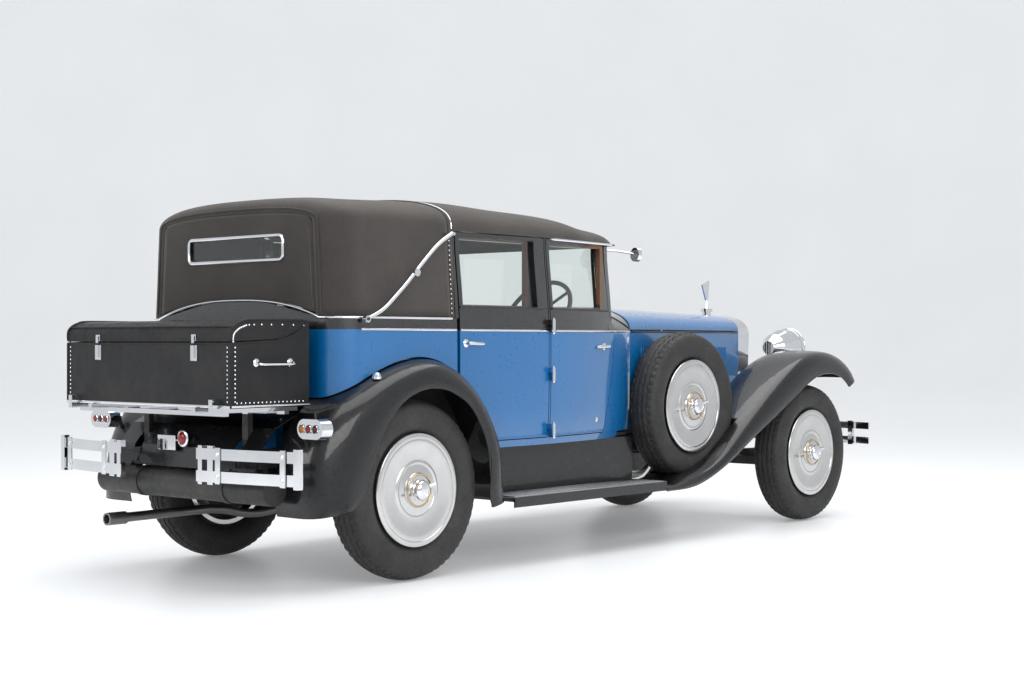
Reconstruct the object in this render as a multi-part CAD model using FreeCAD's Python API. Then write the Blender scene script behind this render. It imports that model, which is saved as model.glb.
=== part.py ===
import FreeCAD, Part
import math
import os

# Early-1930s coachbuilt landaulet with side-mounted spare wheels and a luggage trunk.
# Axes: +X forward, +Y to the car's left, +Z up, ground at Z = 0, millimetres.
# Pieces are built with X measured from the rear axle, then moved as they are written,
# so that the origin lies on the ground under the middle of the car.

V = FreeCAD.Vector

# --- driving dimensions -------------------------------------------------------------------
WHEELBASE = 3680.0
TRACK = 1430.0
TYRE_RADIUS = 443.0
TYRE_HALF_WIDTH = 98.0
RIM_RADIUS = 254.0
DISC_RADIUS = 276.0
SHEET = 6.0                 # fenders, bonnet and aprons
WALL = 48.0                 # whole thickness of doors and cabin walls
GLASS = 5.0
RUNNING_FIT = 0.05          # radial clearance of shafts and pins
SEAT_GAP = 0.3              # between pieces that rest on each other
DOOR_GAP = 6.0
LATCH_GAP = 9.0             # at the shut edge of a rear door, whose inner corner swings wide

BODY_REAR = -475.0
BODY_HALF_WIDTH = 750.0
BODY_CORNER = 150.0
COWL_FRONT = 2050.0
COWL_HALF_WIDTH = 545.0
BODY_BOTTOM = 615.0
SILL_HEIGHT = 35.0
SILL_INNER = 600.0
BELT = 1225.0
WINDOW_SILL = 1345.0
WINDOW_TOP = 1702.0
REAR_WINDOW = (385.0, 975.0)
DOOR_TOP = 1722.0
ROOF_EDGE = 1728.0
ROOF_REAR_TOP = 1865.0
ROOF_TOP = 1905.0
ROOF_THICKNESS = 30.0
HOOD_BASE = 1285.0
HOOD_BASE_RISE = 90.0       # how far the hood's lower edge arches up across the back
HOOD_FRONT = 315.0
HOOD_THICKNESS = 22.0
C_POST = (326.0, 349.0)
B_POST = 1075.0
A_POST = (1706.0, 1750.0)
ROOF_FRONT = 1800.0
FRONT_SEAM = [(1640.0, 600.0), (1660.0, 668.0), (1775.0, 1060.0), (1790.0, BELT),
              (1715.0, WINDOW_SILL), (1700.0, DOOR_TOP)]
SEAM_SLANT = 0.17           # inward lean of the front door's shut face, tangent to its swing

RADIATOR_REAR = 3555.0
RADIATOR_DEPTH = 130.0
RADIATOR_HALF_WIDTH = 315.0
BONNET_SHOULDER = 1235.0
BONNET_TOP_REAR = 1385.0
BONNET_TOP_FRONT = 1348.0
BONNET_BOTTOM = 660.0

RAIL_OUTER = 408.0
RAIL_WIDTH = 56.0
KINGPIN_Y = 575.0
KINGPIN_RADIUS = 14.0
SPINDLE_RADIUS = 30.0
HUB_REACH = 58.0
BACKPLATE_Y = TRACK / 2 - 86.0

FENDER_LIP_Y = 870.0
WHEELHOUSE_Y = 563.0
DASH_HALF = 590.0
BOARD_TOP = 365.0
BOARD_FRONT = 1975.0
BOARD_REAR = 648.0
BOARD_OUTER = 870.0
APRON_Y = 620.0

SPARE = V(2434.0, 651.0, 781.0)
WELL_CLEARANCE = 6.0

TRUNK_REAR = -1020.0
TRUNK_FRONT = -553.0
TRUNK_HALF_WIDTH = 631.0
TRUNK_BOTTOM = 865.0
TRUNK_TOP = 1266.0
TRUNK_WALL = 12.0
LID_GAP = 5.0
LID_AXIS = (-544.0, 1270.0)
LID_HINGES = (-380.0, 380.0)
LID_PIN = 3.5
LID_BARREL = 7.0

HOOD_PIVOT = V(-324.0, 0.0, 1274.0)
IRON_Y = 782.0
IRON_RADIUS = 10.0
IRON_TOP_X = 270.0
IRON_TOP_Z = 1706.0
IRON_PIN = 9.0
HOOD_PIN = 8.0
DOOR_HINGE_Y = 772.0
HINGE_HEIGHTS = (690.0, 990.0, 1250.0)

STEERING_CENTRE = V(1440.0, -350.0, 1330.0)
STEERING_TILT = 35.0
STEERING_RADIUS = 215.0

LAMP_BAR_HALF = 417.0
BUMPER_FRONT = 4456.0
BUMPER_BACK_REACH = -1066.0
EXHAUST_RADIUS = 24.0
EXHAUST_TIP_REACH = 905.0
EXHAUST_BORE_DEPTH = 100.0
EXHAUST_HEIGHT = 285.0
MUFFLER_Y = 285.0
FRONT_AXLE_X = WHEELBASE
ORIGIN_SHIFT = -(BUMPER_FRONT + BUMPER_BACK_REACH) / 2


# --- helpers ------------------------------------------------------------------------------
def box(x0, x1, y0, y1, z0, z1):
    return Part.makeBox(x1 - x0, y1 - y0, z1 - z0, V(x0, y0, z0))


def cylinder(start, end, radius):
    axis = end - start
    return Part.makeCylinder(radius, axis.Length, start, axis)


def tube(start, end, radius, bore):
    return cylinder(start, end, radius).cut(cylinder(start, end, bore))


def fuse(first, *others):
    return first.multiFuse(list(others)).removeSplitter()


def mirrored(shape):
    return shape.mirror(V(0, 0, 0), V(0, 1, 0))


def both_sides(shape):
    return [shape, mirrored(shape)]


def spline(points):
    curve = Part.BSplineCurve()
    curve.interpolate(points)
    return curve.toShape()


def polygon(points):
    return Part.makePolygon(list(points) + [points[0]])


def side_prism(points, y0, y1, slant=0.0, slant_origin=0.0):
    """Solid with an XZ outline, run from y0 to y1; slant moves it along X per unit of Y."""
    start = slant * (y0 - slant_origin)
    face = Part.Face(polygon([V(x + start, y0, z) for x, z in points]))
    return face.extrude(V(slant * (y1 - y0), y1 - y0, 0))


def back_prism(points, x0, x1):
    """Solid with a YZ outline, run from x0 to x1."""
    return Part.Face(polygon([V(x0, y, z) for y, z in points])).extrude(V(x1 - x0, 0, 0))


def rod(points, radius):
    """Round bar along straight runs joined by tangent arcs."""
    edges = []
    last = points[0]
    for before, corner, after in zip(points, points[1:], points[2:]):
        a = (before - corner).normalize()
        b = (after - corner).normalize()
        half = math.acos(max(-1.0, min(1.0, a.dot(b)))) / 2
        reach = 0.45 * min((before - corner).Length, (after - corner).Length)
        mid_axis = (a + b).normalize()
        bend = reach * math.tan(half)
        centre = corner + mid_axis * (reach / math.cos(half))
        start, end = corner + a * reach, corner + b * reach
        edges.append(Part.LineSegment(last, start).toShape())
        edges.append(Part.Arc(start, centre - mid_axis * bend, end).toShape())
        last = end
    edges.append(Part.LineSegment(last, points[-1]).toShape())
    path = Part.Wire(edges)
    section = Part.Wire([Part.makeCircle(radius, points[0], points[1] - points[0])])
    return path.makePipeShell([section], True, True)


def turned(profile, centre, side):
    """Solid turned about Y; profile holds (radius, outboard distance) pairs."""
    wire = polygon([V(r, d, 0) for r, d in profile])
    solid = Part.Face(wire).revolve(V(0, 0, 0), V(0, 1, 0), 360)
    if side < 0:
        solid = mirrored(solid)
    solid.translate(centre)
    return solid


def interpolate(table, x):
    """Straight-line reading of a table of (x, value) pairs."""
    if x <= table[0][0]:
        return table[0][1]
    for (x0, v0), (x1, v1) in zip(table, table[1:]):
        if x <= x1:
            return v0 + (v1 - v0) * (x - x0) / (x1 - x0)
    return table[-1][1]


def export(name, shapes):
    """Write one node, moved into the part's own frame."""
    group = Part.makeCompound(list(shapes) if isinstance(shapes, (list, tuple)) else [shapes])
    solids = group.Solids
    for solid in solids:
        if not solid.isValid() or solid.Volume <= 0:
            print("WARNING not valid:", name, solid.Volume)
    result = solids[0] if len(solids) == 1 else Part.makeCompound(solids)
    result = result.copy()
    result.translate(V(ORIGIN_SHIFT, 0, 0))
    result.exportStep("parts/" + name + ".step")
    print(f"{name}: {len(solids)} solids, {sum(s.Volume for s in solids) / 1e6:.2f} dm3")


# --- body surface -------------------------------------------------------------------------
TUCK = [(600.0, 24.0), (700.0, 8.0), (900.0, 0.0), (BELT, 0.0), (1400.0, 10.0), (1745.0, 34.0)]
BODY_SIDE = [(COWL_FRONT, COWL_HALF_WIDTH), (1720.0, 652.0), (1400.0, 712.0), (1080.0, 745.0),
             (700.0, 752.0), (300.0, 752.0)]


def body_outline(z, inset):
    """Plan of the body at one height, drawn in by inset all round except at the cowl."""
    tuck = interpolate(TUCK, z) + inset
    rear = BODY_REAR + interpolate(TUCK, z) / 2 + inset
    radius = BODY_CORNER - inset
    half = BODY_HALF_WIDTH - tuck
    corner_x = rear + radius
    side = [V(x, y - tuck, z) for x, y in BODY_SIDE] + [V(corner_x, half, z)]
    bulge = radius * math.sqrt(0.5)
    left_mid = V(corner_x - bulge, half - radius + bulge, z)
    left_arc = Part.Arc(side[-1], left_mid, V(rear, half - radius, z))
    right = [V(p.x, -p.y, p.z) for p in reversed(side)]
    right_mid = V(corner_x - bulge, radius - half - bulge, z)
    right_arc = Part.Arc(V(rear, radius - half, z), right_mid, right[0])
    return Part.Wire([
        spline(side),
        left_arc.toShape(),
        Part.LineSegment(V(rear, half - radius, z), V(rear, radius - half, z)).toShape(),
        right_arc.toShape(),
        spline(right),
        Part.LineSegment(right[-1], side[0]).toShape(),
    ])


def body_solid(inset):
    return Part.makeLoft([body_outline(z, inset) for z, _ in TUCK], True, False)


def crown(x, half, edge_z, top_z, power, steps=14):
    """Points of a rounded roof line across the car, from left to right."""
    points = []
    for i in range(steps + 1):
        angle = math.pi * i / steps
        c, s = math.cos(angle), math.sin(angle)
        y = half * math.copysign(abs(c) ** (2 / power), c)
        points.append(V(x, y, edge_z + (top_z - edge_z) * s ** (2 / power)))
    return points


def arched_section(x, half, bottom_half, bottom_z, edge_z, top_z, power):
    """Closed section across the car: flat bottom, sides and a rounded top."""
    top = crown(x, half, edge_z, top_z, power)
    left = V(x, bottom_half, bottom_z)
    right = V(x, -bottom_half, bottom_z)
    return Part.Wire([
        Part.LineSegment(left, top[0]).toShape(),
        spline(top),
        Part.LineSegment(top[-1], right).toShape(),
        Part.LineSegment(right, left).toShape(),
    ])


def body_half_width(x):
    table = sorted(BODY_SIDE + [(BODY_REAR + BODY_CORNER, BODY_HALF_WIDTH)])
    return interpolate(table, x)


OUTER = body_solid(0.0)
INNER = body_solid(WALL)
SHELL = OUTER.cut(INNER)
RIGHT = (-1000.0, -300.0)


def seam_region(points, shift):
    """Outline of everything forward of the front door's seam, moved along X by shift."""
    far = COWL_FRONT + 200
    return [(x + shift, z) for x, z in points] + [(far, points[-1][1] + 40), (far, points[0][1] - 40)]


def front_seam_solid(shift):
    return side_prism(seam_region(FRONT_SEAM, shift), *RIGHT, SEAM_SLANT * -1, -652.0)


# --- fender surface -----------------------------------------------------------------------
# Each station pairs a point on the outer lip with a point on the crown, both as (X, Z).
REAR_FENDER = [
    ((-500, 385), (-690, 352)), ((-420, 470), (-700, 460)), ((-370, 600), (-685, 600)),
    ((-310, 720), (-635, 735)), ((-240, 810), (-535, 850)), ((-149, 888), (-340, 968)),
    ((-36, 933), (-120, 1055)), ((70, 942), (85, 1085)), ((176, 923), (245, 1048)),
    ((303, 857), (400, 940)), ((385, 761), (515, 800)), ((443, 645), (590, 655)),
    ((465, 500), (620, 500)), ((478, 327), (636, 358)),
]
FRONT_FENDER = [
    ((1975, 308), (1975, 366)), ((2224, 317), (2200, 372)), ((2400, 355), (2370, 408)),
    ((2597, 430), (2550, 480)), ((2793, 528), (2725, 595)), ((2957, 613), (2880, 697)),
    ((3171, 717), (3070, 818)), ((3383, 824), (3270, 940)), ((3520, 893), (3430, 1025)),
    ((3660, 945), (3600, 1085)), ((3805, 962), (3800, 1105)), ((3930, 942), (3970, 1075)),
    ((4010, 905), (4100, 1010)), ((4062, 867), (4180, 925)),
]
FRONT_INNER = [(1975, 566), (2200, 560), (2400, 530), (2600, 500), (2880, 462), (3070, 440),
               (3600, 436), (4000, 452), (4180, 474)]


def fender_section(lip, crown_point, profile):
    """Thin closed section in the plane through lip and crown; profile holds (Y, height share)."""
    direction = V(crown_point[0] - lip[0], 0, crown_point[1] - lip[1])
    height = direction.Length
    direction.normalize()
    flat = [(y, share * height) for y, share in profile]
    inner = []
    for i, (y, h) in enumerate(flat):
        y0, h0 = flat[max(i - 1, 0)]
        y1, h1 = flat[min(i + 1, len(flat) - 1)]
        length = math.hypot(y1 - y0, h1 - h0)
        inner.append((y + SHEET * (h1 - h0) / length, h - SHEET * (y1 - y0) / length))
    outer_points = [V(lip[0], y, lip[1]) + direction * h for y, h in flat]
    inner_points = [V(lip[0], y, lip[1]) + direction * h for y, h in inner]
    return Part.Wire([
        spline(outer_points),
        Part.LineSegment(outer_points[-1], inner_points[-1]).toShape(),
        spline(inner_points[::-1]),
        Part.LineSegment(inner_points[0], outer_points[0]).toShape(),
    ])


def rear_fender():
    lip = -FENDER_LIP_Y
    inner = -WHEELHOUSE_Y - SEAT_GAP
    profile = [(lip, 0), (lip - 2, 0.25), (lip + 6, 0.5), (lip + 34, 0.78), (lip + 85, 0.95),
               (lip + 150, 1.0), (lip + 230, 1.0), (inner, 1.0)]
    wires = [fender_section(a, b, profile) for a, b in REAR_FENDER]
    return Part.makeLoft(wires, True, False)


def front_fender():
    wires = []
    for a, b in FRONT_FENDER:
        inner = interpolate(FRONT_INNER, b[0])
        top = (FENDER_LIP_Y + inner) / 2
        drop = 0.76 if b[0] > 3000 else 0.97
        profile = [(-FENDER_LIP_Y, 0), (-FENDER_LIP_Y - 2, 0.3), (-FENDER_LIP_Y + 8, 0.62),
                   (-FENDER_LIP_Y + 40, 0.88), (-(top + FENDER_LIP_Y) / 2, 0.99), (-top, 1.02),
                   (-(top + inner) / 2, 1.0), (-inner, drop)]
        wires.append(fender_section(a, b, profile))
    skin = Part.makeLoft(wires, True, False)
    return well_in(skin)


def well_in(skin):
    """The fender with a sunken well that holds the spare wheel's tyre."""
    y0, y1 = -SPARE.y - TYRE_HALF_WIDTH - WELL_CLEARANCE, -SPARE.y + TYRE_HALF_WIDTH + WELL_CLEARANCE
    radius = TYRE_RADIUS + SEAT_GAP
    hole = cylinder(V(SPARE.x, y0, SPARE.z), V(SPARE.x, y1, SPARE.z), radius)
    drum = cylinder(V(SPARE.x, y0 - SHEET, SPARE.z), V(SPARE.x, y1 + SHEET, SPARE.z), radius + SHEET)
    under = [top for _, top in FRONT_FENDER if top[0] < SPARE.x + 520]
    low = SPARE.z - radius - 40
    below = side_prism(under + [(under[-1][0], low), (under[0][0], low)], y0 - 20, y1 + 20)
    pan = drum.cut(hole).common(below)
    return fuse(skin.cut(drum), pan)


def rear_arch(grow):
    """Solid inside the rear fender's crown line, grown outward, across the whole car side."""
    centre_x, centre_z = 0.0, TYRE_RADIUS
    points = []
    for _, (x, z) in REAR_FENDER:
        reach = math.hypot(x - centre_x, z - centre_z)
        share = (reach + grow) / reach
        points.append(V(centre_x + (x - centre_x) * share, 0, centre_z + (z - centre_z) * share))
    low = 200.0
    points = [V(points[0].x, 0, low)] + points + [V(points[-1].x, 0, low)]
    curve = spline(points[1:-1])
    wire = Part.Wire([
        Part.LineSegment(points[0], points[1]).toShape(), curve,
        Part.LineSegment(points[-2], points[-1]).toShape(),
        Part.LineSegment(points[-1], points[0]).toShape(),
    ])
    face = Part.Face(wire)
    face.translate(V(0, RIGHT[0], 0))
    return face.extrude(V(0, RIGHT[1] - RIGHT[0], 0))


# --- body panels --------------------------------------------------------------------------
def hood_edge(clearance):
    """Solid below the hood's lower edge, which arches up across the back of the car."""
    half = BODY_HALF_WIDTH - BODY_CORNER + 30
    points = []
    for i in range(-8, 9):
        y = half * i / 8
        rise = HOOD_BASE_RISE * math.cos(math.pi * y / (2 * half)) ** 1.3
        points.append(V(-600, y, HOOD_BASE + rise + clearance))
    low = 400.0
    end = HOOD_BASE + clearance
    wire = Part.Wire([
        spline(points),
        Part.makePolygon([V(-600, half, end), V(-600, 1000, end), V(-600, 1000, low),
                          V(-600, -1000, low), V(-600, -1000, end), V(-600, -half, end)]),
    ])
    arch = Part.Face(wire).extrude(V(600 - 200, 0, 0))
    flat = box(-200, C_POST[0] + 10, -1000, 1000, low, end)
    return fuse(arch, flat)


def rear_body():
    region = box(BODY_REAR - 50, C_POST[1], -1000, 1000, BODY_BOTTOM, WINDOW_TOP)
    panel = SHELL.common(region).common(hood_edge(0))
    for arch in both_sides(rear_arch(WELL_CLEARANCE)):
        panel = panel.cut(arch)
    return panel.Solids


def rear_door():
    region = box(C_POST[1] + LATCH_GAP, B_POST - 11, *RIGHT, BODY_BOTTOM + SILL_HEIGHT + 5, DOOR_TOP)
    door = SHELL.common(region)
    leaf = door.cut(rear_window_region()).cut(rear_arch(WELL_CLEARANCE + 8))
    return with_hinges(leaf, "rear")


def front_door():
    region = box(B_POST + 11, 1900, *RIGHT, BODY_BOTTOM + SILL_HEIGHT + 5, DOOR_TOP)
    door = SHELL.common(region).cut(front_seam_solid(-DOOR_GAP))
    return with_hinges(door.cut(front_window()), "front")


def front_window():
    outline = [(1112, WINDOW_SILL), (1605, WINDOW_SILL), (1616, WINDOW_TOP), (1112, WINDOW_TOP)]
    return side_prism(outline, *RIGHT)


def rear_window_region():
    return box(*REAR_WINDOW, *RIGHT, WINDOW_SILL, WINDOW_TOP)


def hinge_barrel(z0, z1):
    return tube(V(B_POST, -DOOR_HINGE_Y, z0), V(B_POST, -DOOR_HINGE_Y, z1), 9, 4 + RUNNING_FIT)


def with_hinges(leaf, which):
    """Add one barrel and strap to the leaf at each hinge height."""
    parts = []
    for z in HINGE_HEIGHTS:
        low, high = (z + 12, z + 34) if which == "rear" else (z - 34, z - 12)
        side = -1 if which == "rear" else 1
        near, far = (B_POST + side * 7, B_POST + side * 20)
        strap = box(min(near, far), max(near, far), -DOOR_HINGE_Y - 3, -DOOR_HINGE_Y + 46, low, high)
        clear = cylinder(V(B_POST, -DOOR_HINGE_Y, low - 1), V(B_POST, -DOOR_HINGE_Y, high + 1), 8)
        parts += [hinge_barrel(low, high), strap.cut(clear)]
    return fuse(leaf, *parts)


def door_pane(region):
    """Glass in the middle of the wall, a seating gap inside its opening."""
    sheet = body_solid(20).cut(body_solid(20 + GLASS))
    return sheet.common(region)


def body_frame():
    """Sills, posts and windscreen header."""
    sill_region = box(665, COWL_FRONT - 5, -1000, -SILL_INNER, BODY_BOTTOM, BODY_BOTTOM + SILL_HEIGHT)
    sill = OUTER.common(sill_region)
    post = box(B_POST - 38, B_POST + 38, -655, -600, BODY_BOTTOM, ROOF_EDGE - SEAT_GAP)
    blade_region = box(B_POST - 5, B_POST + 5, -1000, -600, BODY_BOTTOM, ROOF_EDGE - SEAT_GAP)
    blade = OUTER.common(blade_region)
    knuckles = []
    for z in HINGE_HEIGHTS:
        pin = cylinder(V(B_POST, -DOOR_HINGE_Y, z - 38), V(B_POST, -DOOR_HINGE_Y, z + 38), 4)
        knuckle = cylinder(V(B_POST, -DOOR_HINGE_Y, z - 11), V(B_POST, -DOOR_HINGE_Y, z + 11), 9)
        root = box(B_POST - 5, B_POST + 5, -DOOR_HINGE_Y, -DOOR_HINGE_Y + 60, z - 11, z + 11)
        knuckles += [pin, knuckle, root]
    side = fuse(sill, post, blade, *knuckles)
    c_region = box(C_POST[0], C_POST[1], -1000, -600, HOOD_BASE, ROOF_EDGE - SEAT_GAP)
    c_post = SHELL.common(c_region)
    a_region = box(A_POST[0], A_POST[1], -1000, -578, BELT, ROOF_EDGE - SEAT_GAP)
    a_post = OUTER.common(a_region).common(front_seam_solid(0)).cut(cowl_solid(0.0))
    header = box(A_POST[0], A_POST[1], -600, 600, WINDOW_TOP + 2, ROOF_EDGE - SEAT_GAP)
    sides = both_sides(side) + both_sides(c_post)
    front = fuse(header, *both_sides(a_post))
    return sides + [front]


def cowl_solid(inset):
    """The scuttle: crowned top between the belt and the bonnet, from the posts forward."""
    stations = [(A_POST[0] - 4, 1362.0, 3.4), (1800.0, 1374.0, 3.0), (1930.0, 1381.0, 2.6),
                (COWL_FRONT, BONNET_TOP_REAR, 2.4)]
    wires = []
    for x, top, power in stations:
        half = body_half_width(x) - inset
        wires.append(arched_section(x, half, half - 6, BELT - 60, BELT, top - inset, power))
    return Part.makeLoft(wires, True, False)


def cowl():
    base = BODY_BOTTOM + SILL_HEIGHT + SEAT_GAP
    region = box(1500, COWL_FRONT, *RIGHT, base, BELT)
    side = SHELL.common(region).common(front_seam_solid(0))
    top = cowl_solid(0.0).cut(cowl_solid(25.0)).common(box(1500, COWL_FRONT, -1000, 1000, BELT, 1500))
    door_shoulder = OUTER.cut(body_solid(WALL + DOOR_GAP)).common(box(1600, 1830, *RIGHT, BELT - 1, 1500))
    door_shoulder = door_shoulder.cut(front_seam_solid(0))
    for shoulder in both_sides(door_shoulder):
        top = top.cut(shoulder)
    upper = cowl_solid(2.0).common(box(COWL_FRONT - 20, COWL_FRONT, -1000, 1000, BELT - 5, 1500))
    lower = body_solid(2.0).common(box(COWL_FRONT - 20, COWL_FRONT, -1000, 1000, base, BELT))
    dash_outline = cowl_solid(2.0).common(box(1712, 1727, -DASH_HALF, DASH_HALF, BELT - 50, 1500))
    dash = fuse(dash_outline, box(1712, 1727, -560, 560, 1060, BELT))
    column_hole = cylinder(*column_ends(), 18)
    shell = fuse(*both_sides(side), top, upper, lower, dash)
    return fuse(shell.cut(column_hole), column())


def column_direction():
    tilt = math.radians(STEERING_TILT)
    return V(math.cos(tilt), 0, -math.sin(tilt))


def column_ends():
    direction = column_direction()
    start = STEERING_CENTRE + direction * 70
    return start, STEERING_CENTRE + direction * 760


def column():
    start, end = column_ends()
    jacket = cylinder(start, end, 20).common(box(1000, COWL_FRONT, -1000, 1000, 0, 2000))
    return jacket.cut(cylinder(start, start + column_direction() * 90, 11 + RUNNING_FIT))


def roof_front():
    stations = [(C_POST[0], ROOF_TOP), (700.0, 1906.0), (1100.0, 1891.0), (1400.0, 1866.0),
                (1650.0, 1828.0), (1760.0, 1800.0), (ROOF_FRONT, 1768.0)]
    outer, inner = [], []
    for x, top in stations:
        half = body_half_width(x) - 33
        outer.append(arched_section(x, half, half, ROOF_EDGE, ROOF_EDGE + 8, top, 2.7))
        inner.append(arched_section(x - ROOF_THICKNESS, half - ROOF_THICKNESS, half - ROOF_THICKNESS,
                                    ROOF_EDGE - 10, ROOF_EDGE + 2, top - ROOF_THICKNESS, 2.7))
    return Part.makeLoft(outer, True, False).cut(Part.makeLoft(inner, True, False))


def hood_stations(inset):
    """Sections of the folding head from its flat back to its front bow."""
    rows = []
    edge_radius = 70.0
    depths = (0.0, 5.0, 18.0, 40.0, 70.0, 105.0, BODY_CORNER, 260.0, 450.0, HOOD_FRONT - BODY_REAR)
    for x in [BODY_REAR + depth for depth in depths]:
        depth = x - BODY_REAR
        corner = BODY_CORNER - depth
        half = BODY_HALF_WIDTH
        if corner > 0:
            half = BODY_HALF_WIDTH - BODY_CORNER + math.sqrt(BODY_CORNER ** 2 - corner ** 2)
        half = min(half, body_half_width(max(x, -325.0)))
        top = interpolate([(BODY_REAR, ROOF_REAR_TOP), (-300, 1884), (0, 1898), (HOOD_FRONT, ROOF_TOP)], x)
        if depth < edge_radius:
            top += math.sqrt(edge_radius ** 2 - (edge_radius - depth) ** 2) - edge_radius
        rows.append((x, half - inset, top - inset))
    return rows


def hood_solid(inset):
    wires = []
    for x, half, top in hood_stations(inset):
        x += inset if x < 0 else 0
        if x >= HOOD_FRONT:
            x += inset
        bottom = HOOD_BASE - 60
        edge = ROOF_EDGE + 8
        wires.append(arched_section(x, half - 33, half - 6, bottom, edge, top, 2.7))
    return Part.makeLoft(wires, True, True)


def hood_cover():
    shell = hood_solid(0.0).cut(hood_solid(HOOD_THICKNESS))
    shell = shell.cut(hood_edge(SEAT_GAP))
    opening = box(BODY_REAR - 20, BODY_REAR + 60, -354, 354, 1573, 1674)
    pin_reach = V(0, 900, 0)
    pin_line = V(IRON_TOP_X, 0, IRON_TOP_Z)
    pin_holes = cylinder(pin_line - pin_reach, pin_line + pin_reach, IRON_PIN + SEAT_GAP)
    return shell.cut(opening).cut(pin_holes)


# --- doors' and body's glass --------------------------------------------------------------
def windscreen_glass():
    half = 577.0
    lower = cowl_solid(0.0)
    pane = box(1725, 1725 + GLASS, -half, half, 1300, WINDOW_TOP + 1.5)
    return pane.cut(lower)


# --- folding head -------------------------------------------------------------------------
def landau_iron():
    """Curved iron on the right side, with its middle knuckle and its pivot eye."""
    y = -IRON_Y
    path = [V(HOOD_PIVOT.x, y, HOOD_PIVOT.z), V(-215, y, 1318), V(-60, y, 1445), V(60, y, 1560),
            V(170, y, 1655), V(268, y, 1708)]
    bar = rod(path, IRON_RADIUS)
    joint = V(5, y, 1505)
    knuckle = cylinder(joint - V(0, 16, 0), joint + V(0, 12, 0), 20)
    pivot = HOOD_PIVOT + V(0, y, 0)
    eye = cylinder(pivot - V(0, 12, 0), pivot + V(0, 12, 0), 17)
    bore = cylinder(pivot - V(0, 20, 0), pivot + V(0, 20, 0), HOOD_PIN + RUNNING_FIT)
    return fuse(bar, knuckle, eye).cut(bore)


def hood_frame():
    """Front bow and landau irons, joined by the pins that pass through the cloth."""
    half = 655.0
    outer = arched_section(258, half, half, 1600, ROOF_EDGE, 1872, 2.7)
    inner = arched_section(258, half - 28, half - 28, 1590, ROOF_EDGE, 1844, 2.7)
    bow = Part.Face(outer).cut(Part.Face(inner)).extrude(V(28, 0, 0))
    pieces = [bow]
    for side in (-1, 1):
        pin = cylinder(V(IRON_TOP_X, side * (half - 20), IRON_TOP_Z),
                       V(IRON_TOP_X, side * (IRON_Y + 12), IRON_TOP_Z), IRON_PIN)
        pieces.append(pin)
    iron = landau_iron()
    return fuse(*pieces, iron, mirrored(iron))


def hood_rear_bow():
    """Hoop under the cloth's rear corner, hung on the same pivots as the irons."""
    half = 640.0
    outer = arched_section(0, half, half, 380, 440, 552, 2.7)
    inner = arched_section(0, half - 26, half - 26, 370, 414, 526, 2.7)
    hoop = Part.Face(outer).cut(Part.Face(inner)).extrude(V(24, 0, 0))
    pieces = [hoop]
    for y in (-half, half - 26):
        pieces.append(box(0, 24, y, y + 26, -24, 400))
    bow = fuse(*pieces)
    bow.translate(V(-12, 0, 0))
    lean = 8.0
    bow.rotate(V(0, 0, 0), V(0, 1, 0), -lean)
    bow.translate(HOOD_PIVOT)
    reach = V(0, 800, 0)
    return bow.cut(cylinder(HOOD_PIVOT - reach, HOOD_PIVOT + reach, HOOD_PIN + RUNNING_FIT))


def hood_pins():
    """Pivot pins through the quarter panels: outboard for the irons, inboard for the rear bow."""
    pins = []
    for side in (-1, 1):
        start = V(HOOD_PIVOT.x, side * 608.0, HOOD_PIVOT.z)
        pins.append(cylinder(start, V(HOOD_PIVOT.x, side * (IRON_Y + 16), HOOD_PIVOT.z), HOOD_PIN))
    return pins


# --- chassis and running gear -------------------------------------------------------------
RAIL_TOP = [(-790, 640), (-400, 665), (-300, 690), (300, 690), (410, 610), (3100, 610), (3450, 655),
            (3850, 655), (4020, 600), (4225, 540)]
RAIL_BOTTOM = [(4225, 512), (3980, 520), (3850, 560), (3450, 560), (3180, 510), (520, 510), (300, 590),
               (-300, 590), (-400, 565), (-790, 560)]
CROSS_MEMBERS = [(-700, 600), (330, 640), (1300, 578), (2200, 560), (3420, 590), (4000, 560)]
CROSS_RADIUS = 25.0
SPRING_HALF = 530.0
SPRING_RISE = 93.4          # eyes stand a seating gap below the rail
SPRING_EYE = 17.0
SPRING_THICKNESS = 50.0
FRONT_SPRING_SEAT = 405.0
CASING_RADIUS = 55.0
REAR_SPRING_HALF = 620.0


def chassis_frame():
    y0, y1 = -RAIL_OUTER, -RAIL_OUTER + RAIL_WIDTH
    rail = side_prism(RAIL_TOP + RAIL_BOTTOM, y0, y1)
    members = []
    for x, z in CROSS_MEMBERS:
        members.append(cylinder(V(x, y1 - 20, z), V(x, -y1 + 20, z), CROSS_RADIUS))
    hanger_low = rear_spring_seat() + SPRING_RISE - 6 + SPRING_EYE + SEAT_GAP
    for x, high in ((-REAR_SPRING_HALF, 580), (REAR_SPRING_HALF, 540)):
        members += both_sides(box(x - 14, x + 14, y0 + 6, y1 - 6, hanger_low, high))
    for x in (900, 1700):
        low = BOARD_TOP - 24 - SEAT_GAP - 22
        arm = fuse(box(x, x + 60, -800, y0 + 30, low, low + 22), box(x, x + 60, y0, y0 + 30, low, 520))
        members += both_sides(arm)
    brackets = []
    for y in (-RAIL_OUTER + 8, RAIL_OUTER - 48):
        brackets.append(box(-730, -700, y, y + 40, 600, 826))
    return fuse(rail, mirrored(rail), *members, *brackets)


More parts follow.
